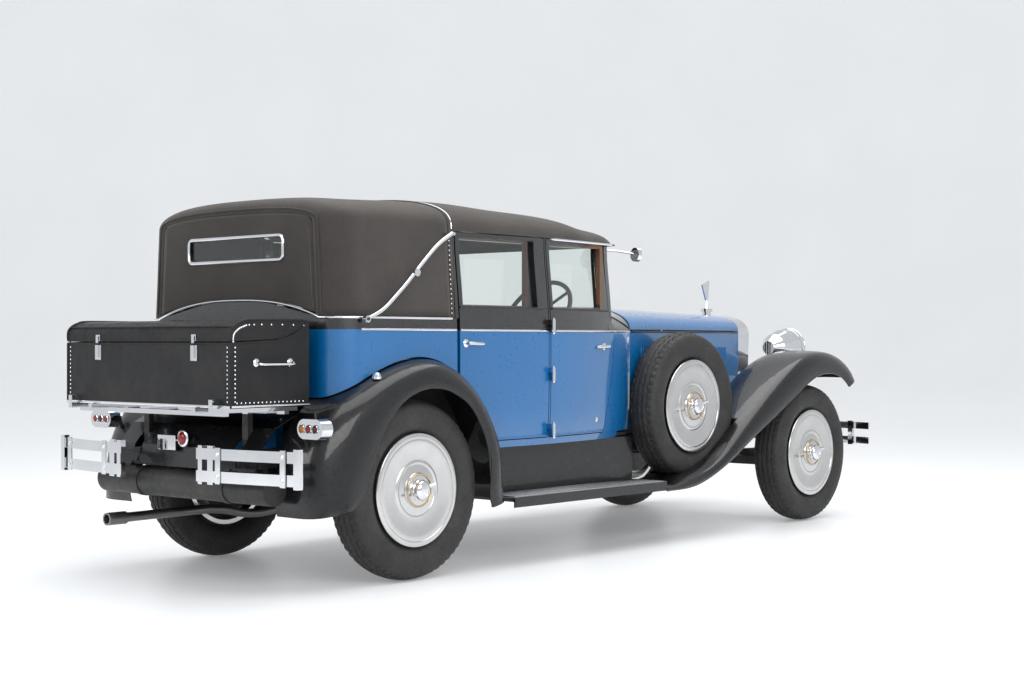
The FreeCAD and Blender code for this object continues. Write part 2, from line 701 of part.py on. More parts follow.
def front_axle():
    outline = [(-KINGPIN_Y, 478), (-510, 470), (-450, 405), (450, 405), (510, 470), (KINGPIN_Y, 478),
               (KINGPIN_Y, 408), (520, 395), (460, 345), (-460, 345), (-520, 395), (-KINGPIN_Y, 408)]
    x = FRONT_AXLE_X
    beam = back_prism(outline, x - 28, x + 28)
    z = TYRE_RADIUS
    eyes = [cylinder(V(x, y, z - 48), V(x, y, z + 48), 26) for y in (-KINGPIN_Y, KINGPIN_Y)]
    axle = fuse(beam, *eyes)
    for y in (-KINGPIN_Y, KINGPIN_Y):
        bore = KINGPIN_RADIUS + RUNNING_FIT
        axle = axle.cut(cylinder(V(x, y, z - 100), V(x, y, z + 100), bore))
    return axle


def knuckle(side):
    x, z = FRONT_AXLE_X, TYRE_RADIUS
    y = -KINGPIN_Y
    pin = cylinder(V(x, y, z - 66), V(x, y, z + 66), KINGPIN_RADIUS)
    ears = []
    for z0 in (z - 66, z + 50):
        ears.append(cylinder(V(x, y, z0), V(x, y, z0 + 16), 24))
        ears.append(box(x - 24, x + 24, -BACKPLATE_Y, y, z0, z0 + 16))
    web = box(x - 30, x + 30, -BACKPLATE_Y, y - 31, z - 66, z + 66)
    plate = cylinder(V(x, -BACKPLATE_Y, z), V(x, -BACKPLATE_Y - 5, z), 196)
    spindle = cylinder(V(x, -BACKPLATE_Y, z), V(x, -TRACK / 2 - HUB_REACH, z), SPINDLE_RADIUS)
    body = fuse(pin, *ears, web, plate, spindle)
    return body if side < 0 else mirrored(body)


def rear_axle():
    z = TYRE_RADIUS
    casing = cylinder(V(0, -BACKPLATE_Y, z), V(0, BACKPLATE_Y, z), CASING_RADIUS)
    differential = Part.makeSphere(142, V(0, 0, z))
    torque_tube = cylinder(V(100, 0, z), V(1935, 0, 520), 42)
    ends = []
    for side in (-1, 1):
        plate = V(0, side * BACKPLATE_Y, z)
        ends.append(cylinder(plate, plate + V(0, side * 5, 0), 196))
        ends.append(cylinder(plate, V(0, side * (TRACK / 2 + HUB_REACH), z), SPINDLE_RADIUS))
    return fuse(casing, differential, torque_tube, *ends)


def leaf_pack(x, seat, half):
    """Leaves bound into one tapering bar, thick over the axle and thin at its eyes."""
    y0, y1 = -RAIL_OUTER + 2, -RAIL_OUTER + RAIL_WIDTH - 2
    high, low = seat + SPRING_RISE, seat + SPRING_RISE - 12
    ends = [V(x - half, y0, high), V(x + half, y0, high), V(x + half, y0, low), V(x - half, y0, low)]
    wire = Part.Wire([
        Part.Arc(ends[0], V(x, y0, seat + SPRING_THICKNESS), ends[1]).toShape(),
        Part.LineSegment(ends[1], ends[2]).toShape(),
        Part.Arc(ends[2], V(x, y0, seat), ends[3]).toShape(),
        Part.LineSegment(ends[3], ends[0]).toShape(),
    ])
    bar = Part.Face(wire).extrude(V(0, y1 - y0, 0))
    eyes = []
    for end in (x - half, x + half):
        eye_z = seat + SPRING_RISE - 6
        eyes.append(cylinder(V(end, y0, eye_z), V(end, y1, eye_z), SPRING_EYE))
    return fuse(bar, *eyes)


def rear_spring_seat():
    return TYRE_RADIUS - CASING_RADIUS - SPRING_THICKNESS - SEAT_GAP


def leaf_springs():
    front = leaf_pack(FRONT_AXLE_X, FRONT_SPRING_SEAT + SEAT_GAP, SPRING_HALF)
    rear = leaf_pack(0.0, rear_spring_seat(), REAR_SPRING_HALF)
    return both_sides(front) + both_sides(rear)


def engine():
    """Plain blocks for the engine and gearbox, notched round the cross member that bears them."""
    block = box(2350, 3310, -185, 185, 480, 1080)
    gearbox = box(1940, 2350, -120, 120, 440, 618)
    x, z = CROSS_MEMBERS[3]
    notch = cylinder(V(x, -200, z), V(x, 200, z), CROSS_RADIUS + SEAT_GAP)
    return fuse(block, gearbox).cut(notch)


# --- wheels -------------------------------------------------------------------------------
def tyre(centre):
    r0, r1, half = RIM_RADIUS + SEAT_GAP, TYRE_RADIUS, TYRE_HALF_WIDTH
    bead, shoulder, bead_top = half - 36, half - 20, DISC_RADIUS + 2
    arcs = [
        Part.LineSegment(V(r0, -bead, 0), V(bead_top, -bead, 0)),
        Part.Arc(V(bead_top, -bead, 0), V(r0 + 86, -half, 0), V(r1 - 18, -shoulder, 0)),
        Part.Arc(V(r1 - 18, -shoulder, 0), V(r1, 0, 0), V(r1 - 18, shoulder, 0)),
        Part.Arc(V(r1 - 18, shoulder, 0), V(r0 + 86, half, 0), V(bead_top, bead, 0)),
        Part.LineSegment(V(bead_top, bead, 0), V(r0, bead, 0)),
        Part.LineSegment(V(r0, bead, 0), V(r0, -bead, 0)),
    ]
    solid = Part.Face(Part.Wire([a.toShape() for a in arcs])).revolve(V(0, 0, 0), V(0, 1, 0), 360)
    solid.translate(centre)
    return solid


def wheel(centre, side, drum=True):
    bore = SPINDLE_RADIUS + RUNNING_FIT
    rim = RIM_RADIUS
    profile = [
        (bore, -70), (58, -70), (58, 60), (150, 66), (rim - 8, 70), (rim - 8, -72), (rim + 14, -72),
        (rim + 14, -67), (rim, -66), (rim, 74), (DISC_RADIUS, 77), (DISC_RADIUS, 82), (rim - 10, 86),
        (150, 78), (84, 84), (82, 96), (50, 98), (46, 128), (20, 136), (0, 137), (0, 64), (bore, 64),
    ]
    shapes = [turned(profile, centre, side)]
    if drum:
        ring = [(57, -12), (200, -12), (200, -78), (192, -78), (192, -20), (57, -20)]
        shapes.append(turned(ring, centre, side))
    return fuse(*shapes) if len(shapes) > 1 else shapes[0]


def wheel_centre(x, side):
    return V(x, side * TRACK / 2, TYRE_RADIUS)


# --- front and rear fittings --------------------------------------------------------------
def radiator_outline(x, inset):
    half = RADIATOR_HALF_WIDTH - inset
    return arched_section(x, half, half - 22, 600 + inset, 1200, BONNET_TOP_FRONT - inset, 2.6)


def radiator_shell():
    x = RADIATOR_REAR
    outer = Part.Face(radiator_outline(x, 0)).cut(Part.Face(radiator_outline(x, 34)))
    shell = outer.extrude(V(RADIATOR_DEPTH, 0, 0))
    cap_x = x + RADIATOR_DEPTH / 2 + 25
    top = BONNET_TOP_FRONT
    neck = cylinder(V(cap_x, 0, top - 12), V(cap_x, 0, top + 22), 30)
    cap = cylinder(V(cap_x, 0, top + 22), V(cap_x, 0, top + 44), 40)
    stem = Part.makeCone(13, 7, 60, V(cap_x, 0, top + 44))
    fin = Part.Face(polygon([V(cap_x - 12, 0, top + 100), V(cap_x - 58, 0, top + 205),
                             V(cap_x + 28, 0, top + 236), V(cap_x + 12, 0, top + 100)]))
    fin.translate(V(0, -5, 0))
    return fuse(shell, neck, cap, stem, fin.extrude(V(0, 10, 0)))


def radiator_core():
    face = Part.Face(radiator_outline(RADIATOR_REAR + 20, 34 + SEAT_GAP))
    return face.extrude(V(RADIATOR_DEPTH - 40, 0, 0))


def bonnet_wires(inset, lowered=0.0):
    wires = []
    for i in range(7):
        share = i / 6
        x = COWL_FRONT + SEAT_GAP + share * (RADIATOR_REAR - COWL_FRONT - 2 * SEAT_GAP)
        half = bonnet_half_width(x) - inset
        top = BONNET_TOP_REAR + (BONNET_TOP_FRONT - BONNET_TOP_REAR) * share - inset
        wires.append(arched_section(x, half, half - 4, BONNET_BOTTOM - lowered, BONNET_SHOULDER,
                                    top, 2.4))
    return wires


def bonnet_half_width(x):
    table = [(COWL_FRONT, COWL_HALF_WIDTH), (2400, 488), (2900, 410), (3300, 352),
             (RADIATOR_REAR, RADIATOR_HALF_WIDTH + 2)]
    return interpolate(table, x)


BONNET_SHELL = Part.makeLoft(bonnet_wires(0.0), True, False).cut(
    Part.makeLoft(bonnet_wires(SHEET, 10.0), True, False))
BONNET_HINGE_RADIUS = 4.0


def bonnet_hinge_line():
    rear = V(COWL_FRONT, 0, BONNET_TOP_REAR - 3)
    front = V(RADIATOR_REAR, 0, BONNET_TOP_FRONT - 3)
    return rear, front


def bonnet_leaf(side):
    edge = BONNET_HINGE_RADIUS + 0.6
    region = box(COWL_FRONT + LID_GAP, RADIATOR_REAR - LID_GAP, -1000, -edge, BONNET_SHOULDER + 3, 1500)
    leaf = BONNET_SHELL.common(region)
    return leaf if side < 0 else mirrored(leaf)


def bonnet_sides():
    region = box(COWL_FRONT, RADIATOR_REAR, -1000, -100, BONNET_BOTTOM - 5, BONNET_SHOULDER - 3)
    panel = BONNET_SHELL.common(region)
    rear, front = bonnet_hinge_line()
    along = (front - rear).normalize()
    hinge = cylinder(rear + along * SEAT_GAP, front - along * SEAT_GAP, BONNET_HINGE_RADIUS)
    return both_sides(panel) + [hinge]


def headlamps():
    pieces = []
    for side in (-1, 1):
        y = side * 365.0
        back, face = 3850.0, 4105.0
        profile = [(0, back), (45, back), (92, back + 60), (120, back + 140), (127, face - 30),
                   (132, face - 28), (132, face), (124, face + 4), (0, face + 4)]
        wire = polygon([V(x, r, 0) for r, x in profile])
        bowl = Part.Face(wire).revolve(V(0, 0, 0), V(1, 0, 0), 360)
        bowl.translate(V(0, y, 1125))
        post = cylinder(V(3985, y, 960), V(3985, y, 1010), 16)
        pieces += [bowl, post]
        rail_top = interpolate(RAIL_TOP, 3985 - 14) + SEAT_GAP
        pieces.append(cylinder(V(3985, side * 380, rail_top), V(3985, side * 380, 955), 11))
    bar = cylinder(V(3985, -LAMP_BAR_HALF, 955), V(3985, LAMP_BAR_HALF, 955), 14)
    return fuse(bar, *pieces)


def bumper_bar(points, low, high, depth):
    """Flat bar bent in plan along an arc through three points."""
    a, b, c = [V(x, y, low) for x, y in points]
    centre_line = Part.Arc(a, b, c)
    outer = centre_line.toShape()
    inner_points = [p - V(depth, 0, 0) for p in (a, b, c)]
    inner = Part.Arc(*inner_points).toShape()
    wire = Part.Wire([outer, Part.LineSegment(c, inner_points[2]).toShape(), inner,
                      Part.LineSegment(inner_points[0], a).toShape()])
    return Part.Face(wire).extrude(V(0, 0, high - low))


def front_bumper():
    ends = [(BUMPER_FRONT - 90, -845), (BUMPER_FRONT, 0), (BUMPER_FRONT - 90, 845)]
    bars = [bumper_bar(ends, low, low + 46, 12) for low in (468, 568)]
    ties, irons = [], []
    for y in (-700, -380, 380, 700):
        back = BUMPER_FRONT - 90 * (y / 845) ** 2
        ties.append(box(back - 34, back - 8, y - 18, y + 18, 460, 622))
    for y in (-RAIL_OUTER + 10, RAIL_OUTER - 46):
        tip = BUMPER_FRONT - 90 * (y / 845) ** 2 - 20
        irons.append(box(4225 + SEAT_GAP, tip, y, y + 36, 514, 538))
    return fuse(*bars, *ties, *irons)


def rear_bumpers():
    bars = []
    ends = [(-948, -291), (-918, -610), (-854, -913)]
    for low in (518, 622):
        a, b, c = ends
        outline = [V(a[0], a[1], low), V(b[0], b[1], low), V(c[0], c[1], low)]
        back = [p + V(12, 0, 0) for p in outline]
        wire = Part.Wire([
            Part.Arc(*outline).toShape(),
            Part.LineSegment(outline[2], back[2]).toShape(),
            Part.Arc(*back).toShape(),
            Part.LineSegment(back[0], outline[0]).toShape(),
        ])
        bars.append(Part.Face(wire).extrude(V(0, 0, 52)))
    ties = [box(-945, -915, -330, -300, 506, 686), box(-872, -842, -912, -882, 506, 686),
            box(-938, -926, -RAIL_OUTER + 8, -RAIL_OUTER + 48, 506, 686),
            box(-938, -790 - SEAT_GAP, -RAIL_OUTER + 8, -RAIL_OUTER + 48, 575, 618)]
    side = fuse(*bars, *ties)
    return both_sides(side)


def tail_lamps():
    y0, y1, z = -885.0, -725.0, 767.0
    x0, x1 = -705.0, -640.0
    pod = fuse(box(x0, x1, y0 + 35, y1 - 35, z - 46, z + 46),
               cylinder(V(x0, y0 + 40, z), V(x1, y0 + 40, z), 46),
               cylinder(V(x0, y1 - 40, z), V(x1, y1 - 40, z), 46))
    stem = Part.makeCone(16, 36, 140, V(x1 - 4, -790, z), V(1, -0.15, -0.05))
    fender = rear_fender_volume()
    stem = stem.cut(fender)
    return both_sides(fuse(pod, stem))


def rear_fender_volume():
    """The rear fender's skin together with everything under it, as one cutting solid."""
    return rear_fender().fuse(rear_arch(-14.0).common(box(-1000, 1000, -FENDER_LIP_Y, -500, 0, 1200)))


def fuel_tank():
    x, z, r = -770.0, 478.0, 70.0
    drum = cylinder(V(x, -640, z), V(x, 640, z), r)
    straps = []
    for y in (-330, 330):
        band = tube(V(x, y - 18, z), V(x, y + 18, z), r + 5, r)
        straps.append(band)
        straps.append(box(x + 10, x + 60, y - 18, y + 18, z + 50, 560 - SEAT_GAP))
    return fuse(drum, *straps)


def exhaust():
    y = 470.0
    start = V(-EXHAUST_TIP_REACH + EXHAUST_BORE_DEPTH, y, EXHAUST_HEIGHT)
    tail = rod([start + V(2, 0, 0), V(-560, y, 288), V(-200, y, 288), V(20, y, 235), V(250, 430, 270),
                V(420, 330, 312), V(560, MUFFLER_Y, 330)], EXHAUST_RADIUS)
    outlet = V(-EXHAUST_TIP_REACH, y, EXHAUST_HEIGHT)
    tip = cylinder(outlet, start + V(10, 0, 0), EXHAUST_RADIUS + 8)
    tip = tip.cut(cylinder(outlet, start, EXHAUST_RADIUS))
    muffler = cylinder(V(550, MUFFLER_Y, 330), V(1330, MUFFLER_Y, 340), 75)
    front = rod([V(1320, MUFFLER_Y, 340), V(1700, MUFFLER_Y, 350), V(2100, 270, 420), V(2420, 215, 620)],
                EXHAUST_RADIUS)
    manifold = box(2380, 3100, 185 + SEAT_GAP, 225, 640, 760)
    return fuse(tail, tip, muffler, front, manifold)


def trunk_outline(grow):
    """Side view of the trunk: a tall box whose lid rounds down to the back."""
    r, f = TRUNK_REAR - grow, TRUNK_FRONT + grow
    low, top = TRUNK_BOTTOM - grow, TRUNK_TOP + grow
    return [(f, low), (f, top), (r + 120, top), (r + 55, top - 10), (r + 16, top - 30), (r, top - 55),
            (r, low)]


SEAM = [(TRUNK_REAR - 60, 1163.0), (TRUNK_REAR, 1163.0), (-760.0, 1175.0), (-660.0, 1200.0),
        (-585.0, 1240.0), (-575.0, TRUNK_TOP + 40)]


def trunk_lid_region(shift):
    top = [(TRUNK_REAR - 60, TRUNK_TOP + 40)]
    return side_prism([(x, z + shift) for x, z in SEAM[:-1]] + [(SEAM[-1][0] - shift, SEAM[-1][1])] + top,
                      -1000, 1000)


def trunk_shell():
    outer = side_prism(trunk_outline(0), -TRUNK_HALF_WIDTH, TRUNK_HALF_WIDTH)
    inner_half = TRUNK_HALF_WIDTH - TRUNK_WALL
    inner = side_prism(trunk_outline(-TRUNK_WALL), -inner_half, inner_half)
    return outer.cut(inner)


def trunk():
    """Open box with the fixed halves of two hinges and their pins on its front edge."""
    shell = trunk_shell().cut(trunk_lid_region(0))
    x, z = LID_AXIS
    parts = []
    for y in LID_HINGES:
        parts.append(cylinder(V(x, y - 44, z), V(x, y + 44, z), LID_PIN))
        for y0 in (y - 44, y + 22):
            parts.append(cylinder(V(x, y0, z), V(x, y0 + 22, z), LID_BARREL))
            parts.append(box(TRUNK_FRONT - 4, x, y0, y0 + 22, TRUNK_TOP - 40, z))
    return fuse(shell, *parts)


def trunk_lid():
    shell = trunk_shell().common(trunk_lid_region(LID_GAP))
    x, z = LID_AXIS
    parts = []
    for y in LID_HINGES:
        reach = (V(x, y - 21, z), V(x, y + 21, z))
        strap = box(SEAM[-1][0] - 60, x, y - 21, y + 21, TRUNK_TOP + 1, TRUNK_TOP + 5)
        foot = box(SEAM[-1][0] - 60, SEAM[-2][0] - LID_GAP, y - 21, y + 21, TRUNK_TOP - 2, TRUNK_TOP + 5)
        leaf = fuse(strap, foot, cylinder(*reach, LID_BARREL))
        parts.append(leaf.cut(cylinder(*reach, LID_PIN + RUNNING_FIT)))
    return fuse(shell, *parts)


def trunk_rack():
    top = TRUNK_BOTTOM - SEAT_GAP
    bars = []
    for y in (-543, -400, 400, 543):
        bars.append(box(-1050, -560, y - 14, y + 14, top - 22, top))
    for x in (-1000, -640):
        bars.append(box(x, x + 28, -557, 557, top - 38, top - 16))
    for y in (-543, 543):
        bars.append(box(BUMPER_BACK_REACH, -1040, y - 14, y + 14, top - 22, 905))
    for y in (-RAIL_OUTER + 8, RAIL_OUTER - 48):
        bars.append(box(-730, -612, y, y + 40, 826 + SEAT_GAP, top - 30))
    return fuse(*bars)


def rear_apron():
    outline = [(-430, 850), (-560, 818), (-690, 760), (-776, 660), (-800, 560), (-794, 560),
               (-770, 657), (-686, 754), (-558, 812), (-430, 844)]
    sheet = side_prism(outline, -540, 540)
    for y in (-RAIL_OUTER - 2, RAIL_OUTER - RAIL_WIDTH - 2):
        sheet = sheet.cut(box(-900, -300, y, y + RAIL_WIDTH + 4, 540, 700))
    slots = []
    for y in (-RAIL_OUTER + 4, RAIL_OUTER - 52):
        slots.append(box(-740, -690, y, y + 48, 690, 840))
    sheet = sheet.cut(slots[0]).cut(slots[1]).cut(body_solid(-SEAT_GAP))
    return max(sheet.Solids, key=lambda solid: solid.Volume)


def running_boards():
    inner, outer = -APRON_Y + 55, -BOARD_OUTER
    board = box(BOARD_REAR, BOARD_FRONT - SEAT_GAP, outer, inner, BOARD_TOP - 24, BOARD_TOP)
    skirt = box(BOARD_REAR, BOARD_FRONT - SEAT_GAP, outer, outer + 10, 312, BOARD_TOP - 20)
    apron = box(BOARD_REAR + 20, BOARD_FRONT - SEAT_GAP, -APRON_Y, -APRON_Y + 6, BOARD_TOP - 5,
                BODY_BOTTOM - SEAT_GAP)
    return both_sides(fuse(board, skirt, apron))


MIRROR_FOOT = 4.9           # the arm's end stands a seating gap off the post at its own slant


def mirror():
    arm = rod([V(A_POST[1] + MIRROR_FOOT, -600, 1690), V(1790, -640, 1688), V(1835, -720, 1672),
               V(1840, -745, 1665)], 6)
    head = cylinder(V(1832, -745, 1665), V(1856, -752, 1664), 40)
    return fuse(arm, head)


# --- cabin --------------------------------------------------------------------------------
def floor():
    half = SILL_INNER - SEAT_GAP
    front_z = 622.0
    front = fuse(box(650, COWL_FRONT - 24, -half, half, front_z, front_z + 16),
                 box(420, 650, -555, 555, front_z, front_z + 16)).common(OUTER)
    for y in (SPARE.y, -SPARE.y):
        reach = V(0, TYRE_HALF_WIDTH + WELL_CLEARANCE + SHEET, 0)
        centre = V(SPARE.x, y, SPARE.z)
        front = front.cut(cylinder(centre - reach, centre + reach, TYRE_RADIUS + 2 * WELL_CLEARANCE))
    riser = box(420, 432, -555, 555, front_z, 730)
    rear = box(BODY_REAR + WALL + 12, 430, -555, 555, 714, 730)
    arch = rear_arch(-SHEET - SEAT_GAP)
    wall = arch.common(box(-430, 630, -WHEELHOUSE_Y, -WHEELHOUSE_Y + 8, front_z, 1200))
    walls = both_sides(wall)
    return fuse(front, riser, rear, *walls)


def seat(x0, x1, half, base, cushion, back_top, back_lean):
    """Bench with a cushion on a boxed base and a leaning back."""
    bench = box(x0, x1, -half, half, base, cushion - 130)
    pad = box(x0 + 40, x1 + 20, -half, half, cushion - 129.7, cushion)
    rest = side_prism([(x0 + 6, cushion - 129.7), (x0 + 39.7, cushion - 129.7), (x0 + 160, cushion + 0.3),
                       (x0 + 140 - back_lean, back_top), (x0 - back_lean, back_top)], -half, half)
    return [bench, pad.makeFillet(25, [e for e in pad.Edges if e.BoundBox.YLength > half]), rest]


def seats():
    front = seat(820, 1290, 540, 638 + SEAT_GAP, 985, 1330, 60)
    rear = seat(-370, 200, 540, 730 + SEAT_GAP, 1000, 1340, 30)
    return front + rear


def steering_wheel():
    rim = Part.makeTorus(STEERING_RADIUS, 13, V(0, 0, 0), V(0, 0, 1))
    hub = cylinder(V(0, 0, -14), V(0, 0, 30), 32)
    shaft = cylinder(V(0, 0, 28), V(0, 0, 155), 11)
    spokes = []
    for i in range(4):
        spoke = box(20, STEERING_RADIUS, -9, 9, 2, 10)
        spoke.rotate(V(0, 0, 0), V(0, 0, 1), 45 + 90 * i)
        spokes.append(spoke)
    wheel_shape = fuse(rim, hub, shaft, *spokes)
    wheel_shape.rotate(V(0, 0, 0), V(0, 1, 0), 90 + STEERING_TILT)
    wheel_shape.translate(STEERING_CENTRE)
    return wheel_shape


def rear_window():
    """Glass in a bright frame, set in the opening of the head's rear curtain."""
    half, low, high = 368.0, 1559.0, 1688.0
    x = BODY_REAR
    frame = box(x - 6, x - SEAT_GAP, -half, half, low, high).cut(
        box(x - 10, x + 10, -half + 16, half - 16, low + 16, high - 16))
    collar = box(x - 1, x + 24, -half + 14.4, half - 14.4, low + 14.4, high - 14.4).cut(
        box(x - 10, x + 30, -half + 18, half - 18, low + 18, high - 18))
    pane = box(x + 6, x + 6 + GLASS, -half + 17.5, half - 17.5, low + 17.5, high - 17.5)
    return fuse(frame, collar, pane)


# --- write every node ---------------------------------------------------------------------
def main():
    os.makedirs("parts", exist_ok=True)
    export("chassis_frame", chassis_frame())
    export("front_axle", front_axle())
    export("rear_axle", rear_axle())
    export("leaf_springs", leaf_springs())
    export("engine", engine())
    export("radiator_shell", radiator_shell())
    export("radiator_core", radiator_core())
    export("bonnet_sides", bonnet_sides())
    export("cowl", cowl())
    export("windscreen_glass", windscreen_glass())
    export("body_frame", body_frame())
    export("rear_body", rear_body() + hood_pins())
    export("rear_apron", rear_apron())
    export("floor", floor())
    export("roof_front", roof_front())
    export("seats", seats())
    export("front_fenders", both_sides(front_fender()))
    export("rear_fenders", both_sides(rear_fender()))
    export("running_boards", running_boards())
    export("front_bumper", front_bumper())
    export("rear_bumpers", rear_bumpers())
    export("headlamps", headlamps())
    export("tail_lamps", tail_lamps())
    export("fuel_tank", fuel_tank())
    export("exhaust", exhaust())
    export("trunk", trunk())
    export("trunk_lid", trunk_lid())
    export("trunk_rack", trunk_rack())
    export("mirror", mirror())
    export("hood_cover", hood_cover())
    export("hood_frame", hood_frame())
    export("hood_rear_bow", hood_rear_bow())
    export("rear_window", rear_window())
    export("steering_wheel", steering_wheel())
    doors = {"rear_door": rear_door(), "front_door": front_door(),
             "rear_door_glass": door_pane(rear_window_region()),
             "front_door_glass": door_pane(front_window())}
    for name, shape in doors.items():
        export(name + "_right", shape)
        export(name + "_left", mirrored(shape))
    spare_wheels, spare_tyres = [], []
    for side, word in ((-1, "right"), (1, "left")):
        export("bonnet_" + word, bonnet_leaf(side))
        export("knuckle_" + word, knuckle(side))
        for x, end in ((0.0, "rear"), (FRONT_AXLE_X, "front")):
            centre = wheel_centre(x, side)
            export(f"{end}_wheel_{word}", wheel(centre, side))
            export(f"{end}_tyre_{word}", tyre(centre))
        centre = V(SPARE.x, side * SPARE.y, SPARE.z)
        spare_wheels.append(wheel(centre, side, drum=False))
        spare_tyres.append(tyre(centre))
    export("spare_wheels", spare_wheels)
    export("spare_tyres", spare_tyres)


main()
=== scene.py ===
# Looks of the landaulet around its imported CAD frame. Metres, row frame: +X forward, +Y left.
import math

import bmesh
import bpy
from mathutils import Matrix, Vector
from mathutils.bvhtree import BVHTree


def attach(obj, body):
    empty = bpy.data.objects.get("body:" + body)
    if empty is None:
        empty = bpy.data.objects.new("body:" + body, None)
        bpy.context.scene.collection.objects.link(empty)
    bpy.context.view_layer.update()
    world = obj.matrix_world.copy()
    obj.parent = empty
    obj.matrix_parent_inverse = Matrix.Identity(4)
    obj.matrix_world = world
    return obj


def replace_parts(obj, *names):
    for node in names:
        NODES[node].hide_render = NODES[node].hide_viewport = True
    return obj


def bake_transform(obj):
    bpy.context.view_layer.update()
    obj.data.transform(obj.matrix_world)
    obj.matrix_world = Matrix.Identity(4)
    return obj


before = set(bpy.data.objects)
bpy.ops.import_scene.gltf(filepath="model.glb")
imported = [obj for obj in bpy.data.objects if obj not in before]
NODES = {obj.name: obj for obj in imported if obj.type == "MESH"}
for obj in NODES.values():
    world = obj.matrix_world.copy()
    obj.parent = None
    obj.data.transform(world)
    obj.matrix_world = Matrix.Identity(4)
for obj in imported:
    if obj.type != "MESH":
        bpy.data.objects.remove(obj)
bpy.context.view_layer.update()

SHIFT = -1.695                  # from rear axle to the row frame's origin, along X
BELT = 1.225
WINDOW_LOW, WINDOW_HIGH = 1.345, 1.702
TAU = 2 * math.pi


# --- materials ----------------------------------------------------------------------------
class Shader:
    """A small builder for one node material."""

    def __init__(self, name, colour=(0.5, 0.5, 0.5), roughness=0.5, metallic=0.0, **sockets):
        self.material = bpy.data.materials.new(name)
        self.material.use_nodes = True
        self.tree = self.material.node_tree
        self.principled = self.tree.nodes["Principled BSDF"]
        self.set("Base Color", (*colour, 1))
        self.set("Roughness", roughness)
        self.set("Metallic", metallic)
        for socket, value in sockets.items():
            self.set(socket.replace("_", " "), value)
        self.coordinates = self.tree.nodes.new("ShaderNodeTexCoord").outputs["Object"]

    def set(self, socket, value):
        self.principled.inputs[socket].default_value = value

    def link(self, source, socket):
        self.tree.links.new(source, self.principled.inputs[socket])

    def node(self, kind, inputs=None, **settings):
        made = self.tree.nodes.new("ShaderNode" + kind)
        for key, value in settings.items():
            setattr(made, key, value)
        for key, value in (inputs or {}).items():
            if isinstance(value, bpy.types.NodeSocket):
                self.tree.links.new(value, made.inputs[key])
            else:
                made.inputs[key].default_value = value
        return made

    def noise(self, scale, detail=3.0, roughness=0.5, stretch=None):
        vector = self.coordinates
        if stretch:
            vector = self.node("Mapping", {"Vector": vector, "Scale": stretch}).outputs[0]
        return self.node("TexNoise", {"Vector": vector, "Scale": scale, "Detail": detail,
                                      "Roughness": roughness}).outputs["Fac"]

    def remap(self, value, low, high, from_low=0.3, from_high=0.7):
        return self.node("MapRange", {"Value": value, "From Min": from_low, "From Max": from_high,
                                      "To Min": low, "To Max": high}).outputs[0]

    def mix(self, factor, first, second):
        made = self.node("Mix", {"Factor": factor}, data_type="RGBA")
        for socket, value in ((made.inputs[6], first), (made.inputs[7], second)):
            if isinstance(value, bpy.types.NodeSocket):
                self.tree.links.new(value, socket)
            else:
                socket.default_value = (*value, 1)
        return made.outputs[2]

    def math(self, operation, first, second=0.0):
        made = self.node("Math", operation=operation)
        for socket, value in zip(made.inputs, (first, second)):
            if isinstance(value, bpy.types.NodeSocket):
                self.tree.links.new(value, socket)
            else:
                socket.default_value = value
        return made.outputs[0]

    def axis(self, letter):
        return self.node("SeparateXYZ", {"Vector": self.coordinates}).outputs[letter]

    def bump(self, height, strength, distance=0.001, normal=None):
        inputs = {"Height": height, "Strength": strength, "Distance": distance}
        if normal:
            inputs["Normal"] = normal
        made = self.node("Bump", inputs).outputs[0]
        self.link(made, "Normal")
        return made


def gloss_paint(name, colour, tint, coat=1.0, level=0.5):
    """Deep coach enamel under lacquer, with faint orange peel and polishing marks."""
    s = Shader(name, colour, 0.32, Coat_Weight=coat, Coat_Roughness=0.035, Coat_IOR=1.45,
               Specular_IOR_Level=level)
    s.link(s.mix(s.remap(s.noise(2.3, 4), 0, 1), colour, tint), "Base Color")
    s.link(s.remap(s.noise(38, 3), 0.26, 0.4), "Roughness")
    s.bump(s.noise(90, 2), 0.02, 0.0003)
    return s


def two_tone(name, colour, tint, upper):
    """Blue coachwork below the belt line and black above it, split by height."""
    s = gloss_paint(name, colour, tint)
    blue = s.mix(s.remap(s.noise(2.3, 4), 0, 1), colour, tint)
    above = s.math("GREATER_THAN", s.axis("Z"), BELT)
    s.link(s.mix(above, blue, upper), "Base Color")
    return s


def metal(name, colour, low, high, scale=30):
    """Polished metal with faint wiping marks."""
    s = Shader(name, colour, low, 1.0)
    s.link(s.remap(s.noise(scale, 4, 0.6), low, high), "Roughness")
    dull = tuple(c * 0.93 for c in colour)
    s.link(s.mix(s.remap(s.noise(11, 3), 0, 1), colour, dull), "Base Color")
    s.bump(s.noise(420, 2), 0.02, 0.0003)
    return s


def rubber(name):
    s = Shader(name, (0.02, 0.02, 0.021), 0.62, Specular_IOR_Level=0.4)
    s.link(s.mix(s.remap(s.noise(9, 5), 0, 1), (0.017, 0.017, 0.018), (0.034, 0.032, 0.03)), "Base Color")
    s.link(s.remap(s.noise(60, 4), 0.5, 0.75), "Roughness")
    s.bump(s.noise(700, 3), 0.18, 0.0006)
    return s


